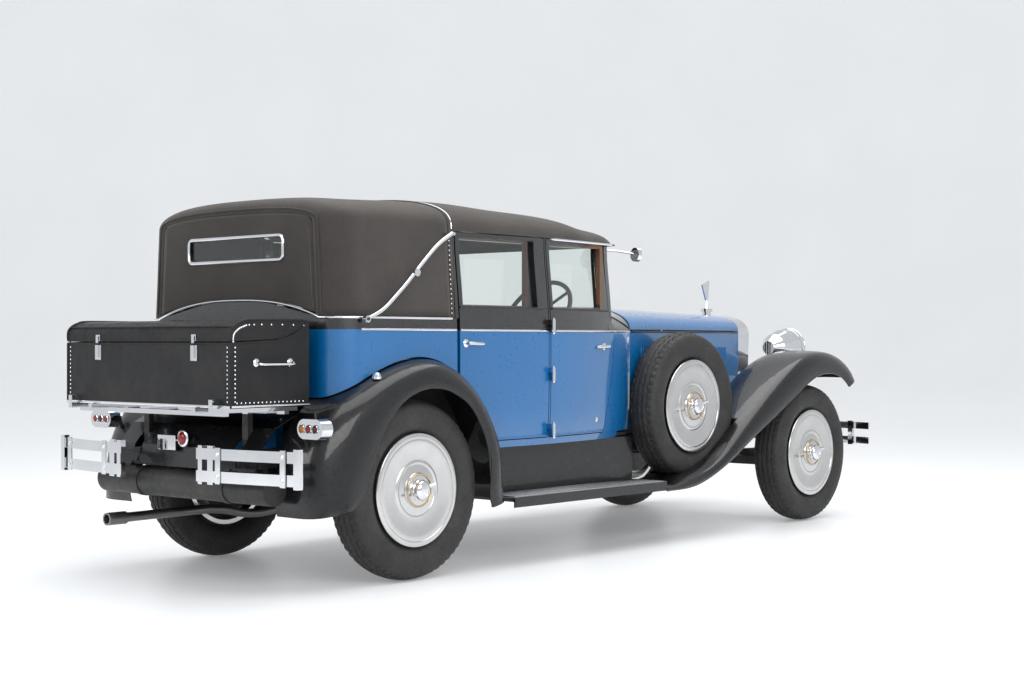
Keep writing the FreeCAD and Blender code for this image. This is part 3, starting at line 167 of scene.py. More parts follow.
def woven(name, colour, light, thread):
    """Canvas woven at right angles, a little napped and faded."""
    s = Shader(name, colour, 0.86, Sheen_Weight=0.25, Sheen_Roughness=0.5, Specular_IOR_Level=0.25)
    s.set("Sheen Tint", (0.8, 0.75, 0.7, 1))
    height = None
    for letter in ("X", "Y", "Z"):
        wave = s.math("SINE", s.math("MULTIPLY", s.axis(letter), TAU / thread))
        height = wave if height is None else s.math("ADD", height, wave)
    fade = s.remap(s.noise(3.2, 6, 0.6), 0, 1)
    fine = s.remap(s.noise(190, 3), 0, 0.5)
    s.link(s.mix(s.math("ADD", s.math("MULTIPLY", fade, 0.6), fine), colour, light), "Base Color")
    weave = s.bump(height, 0.35, 0.0005)
    s.bump(s.noise(26, 5), 0.18, 0.002, weave)
    return s


def leather(name, colour, light, rough=(0.38, 0.58), grain=420):
    s = Shader(name, colour, rough[0], Specular_IOR_Level=0.3)
    cells = s.node("TexVoronoi", {"Vector": s.coordinates, "Scale": grain}, feature="DISTANCE_TO_EDGE")
    s.link(s.mix(s.remap(s.noise(6, 5), 0, 1), colour, light), "Base Color")
    s.link(s.remap(s.noise(22, 4), *rough), "Roughness")
    pebbled = s.bump(cells.outputs["Distance"], 0.35, 0.0006)
    s.bump(s.noise(14, 4), 0.1, 0.002, pebbled)
    return s


def wood(name):
    s = Shader(name, (0.16, 0.07, 0.03), 0.3, Coat_Weight=0.6, Coat_Roughness=0.08)
    grain = s.noise(7, 8, 0.65, (1.2, 22, 22))
    s.link(s.mix(s.remap(grain, 0, 1), (0.19, 0.085, 0.035), (0.075, 0.03, 0.014)), "Base Color")
    s.bump(grain, 0.1, 0.0006)
    return s


def satin(name, colour, light, rough=(0.4, 0.6)):
    s = Shader(name, colour, rough[0])
    s.link(s.mix(s.remap(s.noise(8, 5), 0, 1), colour, light), "Base Color")
    s.link(s.remap(s.noise(34, 4), *rough), "Roughness")
    s.bump(s.noise(150, 3), 0.12, 0.0008)
    return s


def glass(name, tint=(0.93, 0.97, 0.95)):
    s = Shader(name, tint, 0.0, Transmission_Weight=1.0, IOR=1.46)
    s.link(s.remap(s.noise(5, 4), 0.0, 0.012), "Roughness")
    return s


BLUE = (0.0, 0.105, 0.30)
BLUE_TINT = (0.0, 0.118, 0.33)
M = {
    "blue": gloss_paint("blue_enamel", BLUE, BLUE_TINT),
    "two_tone": two_tone("blue_and_black_enamel", BLUE, BLUE_TINT, (0.006, 0.006, 0.007)),
    "black": gloss_paint("black_enamel", (0.003, 0.003, 0.0035), (0.005, 0.005, 0.006), 0.55, 0.3),
    "chassis": satin("chassis_enamel", (0.012, 0.012, 0.013), (0.03, 0.028, 0.026)),
    "chrome": metal("chrome_plate", (0.74, 0.75, 0.77), 0.03, 0.09),
    "aluminium": metal("polished_aluminium", (0.60, 0.60, 0.59), 0.16, 0.27, 60),
    "tyre": rubber("tyre_rubber"),
    "glass": glass("window_glass"),
    "hood": woven("hood_canvas", (0.024, 0.021, 0.019), (0.052, 0.046, 0.043), 0.0011),
    "trunk": leather("trunk_leathercloth", (0.006, 0.006, 0.007), (0.014, 0.0135, 0.0135)),
    "seat": leather("seat_leather", (0.022, 0.017, 0.014), (0.05, 0.036, 0.028)),
    "wood": wood("varnished_wood"),
    "control": satin("control_black", (0.012, 0.012, 0.012), (0.02, 0.02, 0.02), (0.25, 0.4)),
    "steel": metal("exhaust_steel", (0.30, 0.29, 0.28), 0.3, 0.55, 14),
    "bronze": metal("hub_bronze", (0.62, 0.43, 0.24), 0.18, 0.3),
    "thread": satin("pale_thread", (0.16, 0.14, 0.12), (0.24, 0.21, 0.18), (0.7, 0.85)),
    "red_lens": satin("red_lens", (0.20, 0.004, 0.004), (0.27, 0.008, 0.006), (0.06, 0.12)),
    "dark_lens": satin("dark_red_lens", (0.035, 0.003, 0.003), (0.05, 0.004, 0.004), (0.06, 0.12)),
    "amber_lens": satin("amber_lens", (0.36, 0.12, 0.01), (0.42, 0.15, 0.015), (0.06, 0.12)),
}

FINISHES = {
    "blue": ["bonnet_right", "bonnet_left", "bonnet_sides"],
    "two_tone": ["rear_body", "cowl", "body_frame", "front_door_right", "front_door_left",
                 "rear_door_right", "rear_door_left"],
    "black": ["front_fenders", "rear_fenders", "running_boards", "rear_apron"],
    "chassis": ["chassis_frame", "front_axle", "rear_axle", "leaf_springs", "engine", "fuel_tank",
                "floor", "radiator_core", "knuckle_right", "knuckle_left"],
    "chrome": ["radiator_shell", "front_bumper", "rear_bumpers", "headlamps", "tail_lamps", "trunk_rack",
               "mirror", "hood_frame"],
    "aluminium": ["front_wheel_right", "front_wheel_left", "rear_wheel_right", "rear_wheel_left",
                  "spare_wheels"],
    "tyre": ["front_tyre_right", "front_tyre_left", "rear_tyre_right", "rear_tyre_left", "spare_tyres"],
    "glass": ["windscreen_glass", "front_door_glass_right", "front_door_glass_left",
              "rear_door_glass_right", "rear_door_glass_left", "rear_window"],
    "hood": ["hood_cover", "roof_front"],
    "trunk": ["trunk", "trunk_lid"],
    "seat": ["seats"],
    "wood": ["hood_rear_bow"],
    "control": ["steering_wheel"],
    "steel": ["exhaust"],
}


def give(obj, key):
    """Makes the finish's material the piece's only material."""
    obj.data.materials.clear()
    obj.data.materials.append(M[key].material)
    return obj


for finish, names in FINISHES.items():
    for node_name in names:
        give(NODES[node_name], finish)


# --- mesh tools ---------------------------------------------------------------------------
# Points are given in metres from the rear axle, as the car's drawing has them, and moved by SHIFT.
def make(name, verts, faces, key, body, sharp):
    """A mesh piece with one finish that rides on a body."""
    mesh = bpy.data.meshes.new(name)
    mesh.from_pydata([(x + SHIFT, y, z) for x, y, z in verts], [], faces)
    mesh.validate()
    bm = bmesh.new()
    bm.from_mesh(mesh)
    bmesh.ops.remove_doubles(bm, verts=bm.verts, dist=1e-6)
    bmesh.ops.recalc_face_normals(bm, faces=bm.faces)
    bm.to_mesh(mesh)
    bm.free()
    mesh.shade_smooth()
    mesh.set_sharp_from_angle(angle=math.radians(sharp))
    obj = bpy.data.objects.new(name, mesh)
    bpy.context.scene.collection.objects.link(obj)
    give(obj, key)
    if body:
        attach(obj, body)
    return obj


class Shape:
    """Collects vertices and faces of several small forms for one mesh piece."""

    def __init__(self):
        self.verts, self.faces = [], []

    def add(self, verts, faces):
        base = len(self.verts)
        self.verts += [tuple(v) for v in verts]
        self.faces += [tuple(base + i for i in face) for face in faces]
        return self

    def lathe(self, profile, centre, axis, segments=64, closed=False):
        """Turns (radius, distance along axis) pairs about an axis through centre."""
        centre, axis = Vector(centre), Vector(axis).normalized()
        side = axis.orthogonal().normalized()
        other = axis.cross(side)
        rows = []
        for radius, reach in profile:
            if radius < 1e-7:
                rows.append([centre + axis * reach])
            else:
                turns = [TAU * i / segments for i in range(segments)]
                rows.append([centre + axis * reach + (side * math.cos(a) + other * math.sin(a)) * radius
                             for a in turns])
        return self.bridge(rows, True, closed)

    def bridge(self, rows, around=False, closed=False):
        """Faces between rows of points; around joins each row's ends, closed joins last row to first."""
        verts, starts = [], []
        for row in rows:
            starts.append(len(verts))
            verts += row
        faces = []
        pairs = list(zip(range(len(rows)), range(1, len(rows))))
        if closed:
            pairs.append((len(rows) - 1, 0))
        for a, b in pairs:
            na, nb = len(rows[a]), len(rows[b])
            count = max(na, nb)
            for i in range(count if around else count - 1):
                j = (i + 1) % count
                quad = [starts[a] + i % na, starts[b] + i % nb, starts[b] + j % nb, starts[a] + j % na]
                quad = list(dict.fromkeys(quad))
                if len(quad) > 2:
                    faces.append(quad)
        return self.add(verts, faces)

    def sweep(self, path, section, up=(0, 0, 1), closed=False, scale=None):
        """Runs a closed section of (across, along up) pairs along a path, with flat end caps."""
        path = [Vector(p) for p in path]
        rows = []
        count = len(path)
        for i, p in enumerate(path):
            before = path[i - 1] if (i or closed) else p
            after = path[(i + 1) % count] if (i < count - 1 or closed) else p
            along = (after - before).normalized()
            lift = Vector(up[i] if isinstance(up, list) else up)
            across = along.cross(lift).normalized()
            lift = across.cross(along).normalized()
            size = scale(i / (count - 1)) if scale else 1.0
            rows.append([p + (across * a + lift * b) * size for a, b in section])
        self.bridge(rows, True, closed)
        if not closed:
            base = len(self.verts) - count * len(section)
            self.faces.append(tuple(range(base, base + len(section))))
            last = len(self.verts) - len(section)
            self.faces.append(tuple(range(last, last + len(section))))
        return self

    def block(self, low, high, bevel=0.0):
        """Box between two corners, its edges cut back by bevel."""
        bm = bmesh.new()
        bmesh.ops.create_cube(bm, size=1.0)
        low, high = Vector(low), Vector(high)
        for v in bm.verts:
            v.co = Vector(low[k] + (v.co[k] + 0.5) * (high[k] - low[k]) for k in range(3))
        if bevel:
            bmesh.ops.bevel(bm, geom=bm.edges[:], offset=bevel, segments=3, affect="EDGES", profile=0.7)
        bm.verts.index_update()
        self.add([v.co.copy() for v in bm.verts], [[v.index for v in f.verts] for f in bm.faces])
        bm.free()
        return self

    def mirror(self):
        """The same form on the other side of the car."""
        other = Shape()
        other.verts = [(x, -y, z) for x, y, z in self.verts]
        other.faces = [tuple(reversed(f)) for f in self.faces]
        return other

    def piece(self, name, key, body, sharp=40):
        return make(name, self.verts, self.faces, key, body, sharp)


def ring(radius, count=10):
    """Round section for a sweep."""
    return [(radius * math.cos(TAU * i / count), radius * math.sin(TAU * i / count)) for i in range(count)]


def half_round(width, height, count=8):
    """Half-round moulding section that stands on its flat."""
    return [(width / 2 * math.cos(math.pi * i / count), height * math.sin(math.pi * i / count))
            for i in range(count + 1)]


def smooth_path(points, steps=8):
    """Catmull-Rom curve through the points."""
    pts = [Vector(p) for p in points]
    pts = [pts[0] * 2 - pts[1]] + pts + [pts[-1] * 2 - pts[-2]]
    path = []
    for a, b, c, d in zip(pts, pts[1:], pts[2:], pts[3:]):
        for i in range(steps):
            t = i / steps
            path.append(0.5 * (2 * b + (c - a) * t + (2 * a - 5 * b + 4 * c - d) * t * t
                               + (3 * b - a - 3 * c + d) * t ** 3))
    path.append(pts[-2])
    return path


def side_curve(points, steps=6):
    """Smooth curve through (x, z) pairs."""
    return [(p.x, p.z) for p in smooth_path([(x, 0, z) for x, z in points], steps)]


TREES = {}


def hit(node, start, direction):
    """Where a ray meets a CAD node, and the surface normal turned towards the ray's start."""
    if node not in TREES:
        mesh = NODES[node].data
        TREES[node] = BVHTree.FromPolygons([v.co.copy() for v in mesh.vertices],
                                           [tuple(p.vertices) for p in mesh.polygons])
    origin = Vector(start) + Vector((SHIFT, 0, 0))
    direction = Vector(direction).normalized()
    place, normal, _, _ = TREES[node].ray_cast(origin, direction)
    if place is None:
        place, normal, _, _ = TREES[node].find_nearest(origin)
    if normal.dot(direction) > 0:
        normal = -normal
    return place - Vector((SHIFT, 0, 0)), normal


def both(shape, name, key, body, sharp=40):
    """The same right-hand form on both sides; {} in a body's name is the side."""
    shape.piece(name + "_right", key, body.format("right"), sharp)
    shape.mirror().piece(name + "_left", key, body.format("left"), sharp)


def spread(a, b, count):
    return [a + (b - a) * i / (count - 1) for i in range(count)]


# --- wheels -------------------------------------------------------------------------------
WHEELS = {"front_wheel_right": (3.68, -0.715, 0.443), "front_wheel_left": (3.68, 0.715, 0.443),
          "rear_wheel_right": (0.0, -0.715, 0.443), "rear_wheel_left": (0.0, 0.715, 0.443)}
SPARES = {"spare_right": (2.434, -0.651, 0.781), "spare_left": (2.434, 0.651, 0.781)}


def arc(a, b, c, count):
    """Points of the circle's arc through three (radius, reach) pairs."""
    (ax, ay), (bx, by), (cx, cy) = a, b, c
    d = 2 * (ax * (by - cy) + bx * (cy - ay) + cx * (ay - by))
    aa, bb, cc = ax * ax + ay * ay, bx * bx + by * by, cx * cx + cy * cy
    ux = (aa * (by - cy) + bb * (cy - ay) + cc * (ay - by)) / d
    uy = (aa * (cx - bx) + bb * (ax - cx) + cc * (bx - ax)) / d
    radius = math.hypot(ax - ux, ay - uy)
    first, last = math.atan2(ay - uy, ax - ux), math.atan2(cy - uy, cx - ux)
    turn = (last - first + math.pi) % TAU - math.pi
    turns = [first + turn * i / count for i in range(count)]
    return [(ux + radius * math.cos(t), uy + radius * math.sin(t)) for t in turns]


def tyre_form(centre, segments=180):
    """Tyre with three zigzag ribs, cut shoulders and ringed sidewalls."""
    wall = arc((0.278, -0.062), (0.3403, -0.098), (0.425, -0.078), 14)
    crown = arc((0.425, -0.078), (0.443, 0.0), (0.425, 0.078), 36)
    outer = wall + crown + [(r, -y) for r, y in reversed(wall)] + [(0.278, 0.062)]
    section = [(0.2545, -0.062)] + outer + [(0.2545, 0.062)]
    rows = []
    for i in range(segments):
        angle = TAU * i / segments
        zig = 0.0035 if i % 4 < 2 else -0.0035
        row = []
        for r, y in section:
            reach = abs(y + zig)
            if r > 0.424:
                if abs(reach - 0.020) < 0.0032 or abs(reach - 0.050) < 0.0032:
                    r -= 0.008
                elif abs(y) > 0.055 and i % 3 == 0:
                    r -= 0.006
            elif r > 0.29 and abs(r - 0.305) < 0.006 or abs(r - 0.405) < 0.005:
                y += math.copysign(0.0018, y)
            row.append(Vector(centre) + Vector((r * math.cos(angle), y, r * math.sin(angle))))
        rows.append(row)
    return Shape().bridge(rows, True, True)


def disc_form(centre, side):
    """Wheel disc with a stepped outer ring, a broad shallow cone and raised inner rings."""
    profile = [(0.2785, 0.0770), (0.2790, 0.0850), (0.2765, 0.0885), (0.2720, 0.0905), (0.2570, 0.0915),
               (0.2525, 0.0908), (0.2505, 0.0885), (0.2470, 0.0882), (0.2440, 0.0896), (0.2400, 0.0898),
               (0.2200, 0.0876), (0.1900, 0.0842), (0.1600, 0.0816), (0.1480, 0.0812), (0.1450, 0.0830),
               (0.1400, 0.0852), (0.1330, 0.0858), (0.1270, 0.0846), (0.1245, 0.0826), (0.1180, 0.0830),
               (0.1000, 0.0858), (0.0860, 0.0872), (0.0835, 0.0900), (0.0835, 0.0975), (0.0800, 0.0995),
               (0.0700, 0.1002), (0.0520, 0.1004)]
    return Shape().lathe(profile, centre, (0, side, 0), 128)


def knock_off(centre, side):
    """Eared hub nut."""
    shape = Shape()
    profile = [(0.054, 0.098), (0.054, 0.108), (0.049, 0.112), (0.047, 0.128), (0.042, 0.134),
               (0.030, 0.139), (0.026, 0.1395), (0.024, 0.137), (0.012, 0.1375), (0.0, 0.138)]
    shape.lathe(profile, centre, (0, side, 0), 48)
    for turn in (0.35, 0.35 + math.pi):
        along = Vector((math.cos(turn), 0, math.sin(turn)))
        path = [Vector(centre) + along * r + Vector((0, side * reach, 0))
                for r, reach in ((0.030, 0.118), (0.050, 0.121), (0.070, 0.128), (0.083, 0.135))]
        section = [(0.009 * math.cos(TAU * k / 12), 0.006 * math.sin(TAU * k / 12)) for k in range(12)]
        shape.sweep(path, section, (0, side, 0), scale=lambda t: 1.35 - 0.55 * t)
    return shape


def hub_ring(centre, side):
    profile = [(0.079 + 0.0042 * math.cos(TAU * k / 12), 0.101 + 0.0042 * math.sin(TAU * k / 12))
               for k in range(12)]
    return Shape().lathe(profile, centre, (0, side, 0), 72, True)


def wheels():
    spare_tyres = Shape()
    for name, centre in {**WHEELS, **SPARES}.items():
        side = 1 if centre[1] > 0 else -1
        body = name if name in WHEELS else "body"
        tyre = tyre_form(centre)
        if name in WHEELS:
            piece = tyre.piece(name.replace("wheel", "tyre") + "_tread", "tyre", body, 35)
            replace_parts(piece, name.replace("wheel", "tyre"))
        else:
            spare_tyres.add(tyre.verts, tyre.faces)
        disc_form(centre, side).piece(name + "_disc", "aluminium", body, 30)
        knock_off(centre, side).piece(name + "_knock_off", "chrome", body, 30)
        hub_ring(centre, side).piece(name + "_hub_ring", "bronze", body)
    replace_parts(spare_tyres.piece("spare_tyres_tread", "tyre", "body", 35), "spare_tyres")


wheels()


# --- head and roof ------------------------------------------------------------------------
BODY_REAR, CORNER, HALF_WIDTH = -0.475, 0.150, 0.750
HOOD_FRONT, ROOF_EDGE = 0.315, 1.728
CLOTH_FOOT = 1.288              # lower edge of the head's cloth
CLOTH_THICKNESS = 0.003
CROWN_POWER = 2.7               # superellipse power of the head's crown


def applied(obj, **settings):
    """Solidifies a cloth and makes the result its mesh."""
    solidify = obj.modifiers.new("thickness", "SOLIDIFY")
    for key, value in settings.items():
        setattr(solidify, key, value)
    depsgraph = bpy.context.evaluated_depsgraph_get()
    mesh = bpy.data.meshes.new_from_object(obj.evaluated_get(depsgraph))
    obj.modifiers.clear()
    obj.data = mesh
    return obj


def head_section(x):
    """Half width and top of the folding head at x."""
    depth = x - BODY_REAR
    half = HALF_WIDTH
    if depth < CORNER:
        half = HALF_WIDTH - CORNER + math.sqrt(CORNER ** 2 - (CORNER - depth) ** 2)
    tops = [(-0.475, 1.865), (-0.3, 1.884), (0.0, 1.898), (0.315, 1.905)]
    for (xa, za), (xb, zb) in zip(tops, tops[1:]):
        if xa <= x <= xb:
            top = za + (zb - za) * (x - xa) / (xb - xa)
    if depth < 0.07:
        top += math.sqrt(0.07 ** 2 - (0.07 - depth) ** 2) - 0.07
    return half, top


def head_row(x, low, steps=44):
    """Points round the head at x, from the right-hand lower edge over the top to the left."""
    half, top = head_section(x)
    edge_half = half - 0.033
    row = [(x, -(half - 0.006 - 0.027 * t), low + (ROOF_EDGE + 0.008 - low) * t)
           for t in spread(0, 0.96, 12)]
    for i in range(steps + 1):
        angle = math.pi * (1 - i / steps)
        c, q = math.cos(angle), math.sin(angle)
        y = edge_half * math.copysign(abs(c) ** (2 / CROWN_POWER), c)
        row.append((x, y, ROOF_EDGE + 0.008 + (top - ROOF_EDGE - 0.008) * q ** (2 / CROWN_POWER)))
    row += [(x, -y, z) for _, y, z in reversed(row[:12])]
    return [Vector(p) for p in row]


def head():
    """The folding head's cloth: one piece over the top and sides, one across the back."""
    xs = [BODY_REAR + d for d in (0.0, 0.0015, 0.005, 0.011, 0.019, 0.03, 0.044, 0.058, 0.075, 0.095,
                                  0.12, 0.15)] + spread(-0.29, HOOD_FRONT, 16)
    rows = []
    for n, x in enumerate(xs):
        row = head_row(x, CLOTH_FOOT)
        sag = 0.004 * math.sin(math.pi * min(1.0, max(0.0, (x + 0.33) / 0.6))) ** 2
        for k, p in enumerate(row):
            high = max(0.0, min(1.0, (p.z - 1.75) / 0.12))
            p.z -= sag * high
            wave = 0.0012 * math.sin(11 * p.x + 5 * p.z) * math.sin(7 * p.z)
            p.y -= math.copysign(wave, p.y) * (1 - high)
        rows.append(row)
    top = Shape().bridge(rows).piece("hood_cloth", "hood", None, 50)
    applied(top, thickness=CLOTH_THICKNESS, offset=-1)
    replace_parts(top, "hood_cover")
    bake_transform(top)

    half, crown_top = head_section(BODY_REAR)
    edge_half = half - 0.033
    ys = spread(-edge_half, -0.36, 9) + spread(-0.356, 0.356, 31) + spread(0.36, edge_half, 9)
    shares = spread(0, 1, 30)
    verts, faces = [], []
    for y in ys:
        q = (1 - abs(y / edge_half) ** CROWN_POWER) ** (1 / CROWN_POWER)
        high = ROOF_EDGE + 0.008 + (crown_top - ROOF_EDGE - 0.008) * q
        low = CLOTH_FOOT + 0.088 * max(0.0, 1 - abs(y / 0.62) ** 2.5)
        for t in shares:
            z = low + (high - low) * t
            bulge = 0.005 * math.sin(math.pi * t) * (1 - (y / edge_half) ** 2)
            outer = max(0.0, (abs(y) - 0.356) / (edge_half - 0.356))
            flare = 0.027 * max(0.0, 1 - (z - CLOTH_FOOT) / 0.43) * outer
            verts.append((BODY_REAR - 0.0005 - bulge * 0.4, y + math.copysign(flare, y), z))
    n = len(shares)
    for a in range(len(ys) - 1):
        for b in range(n - 1):
            corners = [a * n + b, (a + 1) * n + b, (a + 1) * n + b + 1, a * n + b + 1]
            inside = all(abs(verts[k][1]) < 0.3565 and 1.566 < verts[k][2] < 1.681 for k in corners)
            if not inside:
                faces.append(corners)
    back = make("hood_back_cloth", verts, faces, "hood", None, 50)
    applied(back, thickness=CLOTH_THICKNESS, offset=0)
    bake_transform(back)
    return top, back


HOOD_CLOTH, HOOD_BACK = head()


def rear_seams():
    """Pale stitching down the head's rear seams, and the welt along its rear edge."""
    for side, tag in ((-1, "right"), (1, "left")):
        stitches = Shape()
        for z in spread(1.33, 1.70, 62):
            y = side * (0.572 - 0.025 * (z - 1.33) / 0.37)
            stitches.sweep([(BODY_REAR - 0.0030, y, z), (BODY_REAR - 0.0030, y, z + 0.0042)],
                           ring(0.0007, 6), (1, 0, 0))
        piece = stitches.piece("hood_stitching_" + tag, "thread", None)
        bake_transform(piece)
        welt_path = [(p.x, p.y, p.z) for p in head_row(BODY_REAR + 0.004, 1.30)]
        count = len(welt_path) // 2 + 1
        chosen = welt_path[:count] if side < 0 else welt_path[count - 1:]
        welt = Shape().sweep([(x - 0.003, y, z + 0.002) for x, y, z in chosen], ring(0.0045, 8), (1, 0, 0))
        piece = welt.piece("hood_welt_" + tag, "hood", None)
        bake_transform(piece)


rear_seams()


def front_binding():
    """Bound front edge of the head with its row of studs, carried by the front bow."""
    row = head_row(HOOD_FRONT - 0.004, CLOTH_FOOT)
    binding = Shape().sweep([p + Vector((0, 0, 0.0015)) for p in row], half_round(0.026, 0.005), [
        (p - Vector((p.x, 0, 1.55))).normalized() for p in row])
    piece = binding.piece("hood_front_binding", "hood", None)
    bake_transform(piece)
    studs = Shape()
    for side in (-1, 1):
        for z in spread(1.31, 1.70, 17):
            half = head_section(HOOD_FRONT - 0.006)[0] - 0.006 - 0.027 * (z - CLOTH_FOOT) / 0.448
            studs.lathe([(0.0045, 0), (0.004, 0.0022), (0.002, 0.0034), (0, 0.0038)],
                        (HOOD_FRONT - 0.012, side * (half + 0.0035), z), (0, side, 0), 10)
    piece = studs.piece("hood_front_studs", "chrome", None)
    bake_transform(piece)


front_binding()


def found(node, start, direction):
    """The hit of a ray on a CAD node, or None."""
    if node not in TREES:
        hit(node, start, direction)
    origin = Vector(start) + Vector((SHIFT, 0, 0))
    place, normal, _, _ = TREES[node].ray_cast(origin, Vector(direction).normalized())
    if place is None:
        return None
    if normal.dot(Vector(direction)) > 0:
        normal = -normal
    return place - Vector((SHIFT, 0, 0)), normal


def runs(node, height, x0, x1, step=0.012):
    """Stretches of a node's right-hand outside met by level rays, as lists of (point, normal)."""
    stretches, current = [], []
    x = x0
    while x <= x1:
        met = found(node, (x, -1.3, height(x) if callable(height) else height), (0, 1, 0))
        if met and met[0].y < -0.3:
            current.append(met)
        elif current:
            stretches.append(current)
            current = []
        x += step
    if current:
        stretches.append(current)
    return [run for run in stretches if len(run) > 3]


def side_moulding(name, node, body, height, x0, x1, width, proud, key):
    """Half-round moulding along the outside of a node, on both sides of the car."""
    shape = Shape()
    for run in runs(node, height, x0, x1):
        shape.sweep([p for p, _ in run], half_round(width, proud), [n for _, n in run])
    if shape.verts:
        if "right" in node:
            both(shape, name, key, body)
        else:
            shape.piece(name + "_right", key, body)
            shape.mirror().piece(name + "_left", key, body)


PANELS = [("rear_body", "body", -0.33, 0.36), ("rear_door_right", "rear_door_{}", 0.3, 1.1),
          ("front_door_right", "front_door_{}", 1.0, 1.9), ("cowl", "body", 1.6, 2.06)]


def body_mouldings():
    for node, body, x0, x1 in PANELS:
        label = node.replace("_right", "")
        side_moulding(label + "_belt_line", node, body, BELT, x0, x1, 0.012, 0.005, "chrome")
        if node != "rear_body":
            side_moulding(label + "_sill_line", node, body,
                          lambda x: 1.343 if x < 1.72 else 1.343 - 0.12 * (x - 1.72) / 0.4, x0, x1,
                          0.012, 0.006, "black")
        if "door" in node:
            side_moulding(label + "_foot_line", node, body, 0.665, x0, x1, 0.010, 0.004, "blue")


body_mouldings()


def base_moulding():
    """Chrome strip round the foot of the head, arched across the back."""
    points, normals = [], []
    for x in spread(0.30, -0.30, 28):
        met = found("rear_body", (x, -1.3, 1.270), (0, 1, 0))
        if met:
            points.append(met[0] + Vector((0, 0, 0.012)))
            normals.append(met[1])
    centre = (BODY_REAR + CORNER, -(HALF_WIDTH - CORNER))
    for turn in spread(0.1, math.pi / 2 - 0.1, 9):
        out_dir = Vector((-math.sin(turn), -math.cos(turn), 0))
        points.append(Vector((centre[0], centre[1], 1.282)) + out_dir * CORNER)
        normals.append(out_dir)
    for y in spread(-0.60, 0.0, 26):
        rise = 0.088 * max(0.0, 1 - abs(y / 0.62) ** 2.5)
        points.append(Vector((BODY_REAR, y, 1.282 + rise)))
        normals.append(Vector((-1, 0, 0)))
    mirrored_points = [Vector((p.x, -p.y, p.z)) for p in reversed(points[:-1])]
    mirrored_normals = [Vector((n.x, -n.y, n.z)) for n in reversed(normals[:-1])]
    shape = Shape().sweep(points + mirrored_points, half_round(0.012, 0.006), normals + mirrored_normals)
    shape.piece("hood_base_moulding", "chrome", "body")


base_moulding()


def roof_trim():
    """Drip rails over the doors and the bead across the roof where the head meets it."""
    xs = spread(0.35, 1.745, 60)
    shape = Shape()
    path = [Vector((x, -(body_half(x) - 0.033 + 0.004), 1.735 - 0.021 * max(0.0, (x - 0.35) / 1.4)))
            for x in xs]
    shape.sweep(path, [(-0.004, -0.006), (0.004, -0.006), (0.007, 0.0), (0.004, 0.006), (-0.004, 0.006)])
    both(shape, "drip_rail", "chrome", "body")
    row = head_row(HOOD_FRONT, 1.736)[12:-12]
    bead = Shape().sweep([(p.x + 0.013, p.y, p.z + 0.002) for p in row], ring(0.004, 8), (1, 0, 0))
    bead.piece("roof_rear_bead", "chrome", "body")


def body_half(x):
    """Half width of the body at the doors."""
    met = found("body_frame", (x, -1.3, 1.712), (0, 1, 0))
    return -met[0].y if met else 0.73


roof_trim()


# --- side fittings ------------------------------------------------------------------------
def door_handle(node, x, z, reach):
    """Torpedo grip on a round foot; reach is the signed length of the grip along X."""
    place, normal = hit(node, (x, -1.3, z), (0, 1, 0))
    shape = Shape()
    foot = [(0.021, -0.002), (0.021, 0.003), (0.017, 0.006), (0.009, 0.009), (0.007, 0.030), (0.0, 0.032)]
    shape.lathe(foot, place, normal, 24)
    grip = [(0.0, -0.014), (0.007, -0.012), (0.0095, 0.0), (0.0090, 0.04), (0.0095, 0.085), (0.006, 0.105),
            (0.0, 0.110)]
    shape.lathe(grip, place + normal * 0.030, (math.copysign(1, reach), 0, -0.03), 20)
    return shape


def doors():
    both(door_handle("rear_door_right", 0.40, 1.158, 1), "rear_door_handle", "chrome", "rear_door_{}")
    both(door_handle("front_door_right", 1.645, 1.138, -1), "front_door_handle", "chrome", "front_door_{}")
    place, normal = hit("front_door_right", (1.563, -1.3, 0.728), (0, 1, 0))
    lock = Shape().lathe([(0.016, -0.001), (0.016, 0.003), (0.012, 0.005), (0.004, 0.005), (0, 0.004)],
                         place, normal, 24)
    both(lock, "front_door_lock", "chrome", "front_door_{}")
    hinges = Shape()
    for z in (0.690, 0.990, 1.250):
        profile = [(0, -0.046), (0.006, -0.043), (0.005, -0.037), (0.0105, -0.036), (0.0105, 0.036),
                   (0.005, 0.037), (0.006, 0.043), (0, 0.046)]
        hinges.lathe(profile, (1.075, -0.772, z), (0, 0, 1), 20)
    both(hinges, "door_hinge_caps", "chrome", "body")


doors()

DOOR_WINDOWS = {"rear_door": (0.384, 0.973), "front_door": (1.102, 1.618)}


def window_frames():
    """Varnished wood frames just inside the doors' glass."""
    for door, (x0, x1) in DOOR_WINDOWS.items():
        corners = [(x0, WINDOW_LOW), (x1, WINDOW_LOW), (x1, WINDOW_HIGH), (x0, WINDOW_HIGH)]
        inner = Shape()
        for (xa, za), (xb, zb) in zip(corners, corners[1:] + corners[:1]):
            ya = body_half(min(max(xa, 0.4), 1.6))
            yb = body_half(min(max(xb, 0.4), 1.6))
            inner.sweep([(xa, -ya + 0.075, za), (xb, -yb + 0.075, zb)],
                        [(-0.012, -0.014), (0.012, -0.014), (0.012, 0.014), (-0.012, 0.014)], (0, 1, 0))
        both(inner, door + "_window_wood", "wood", door + "_{}")


window_frames()


# --- luggage trunk ------------------------------------------------------------------------
TRUNK_TOP_LINE = [(-1.020, 1.172), (-1.020, 1.211), (-1.004, 1.236), (-0.965, 1.256), (-0.900, 1.266),
                  (-0.600, 1.266)]
TRUNK_SEAM = [(-1.020, 1.163), (-0.900, 1.168), (-0.760, 1.175), (-0.660, 1.200), (-0.585, 1.240),
              (-0.575, 1.262)]
TRUNK_HALF, TRUNK_BACK, TRUNK_LOW, TRUNK_FRONT = 0.631, -1.020, 0.865, -0.553


def stud_row(shape, points, normal, size=0.0048):
    for p in points:
        shape.lathe([(size, -0.001), (size * 0.9, 0.0018), (size * 0.5, 0.0032), (0, 0.0036)], p, normal, 10)


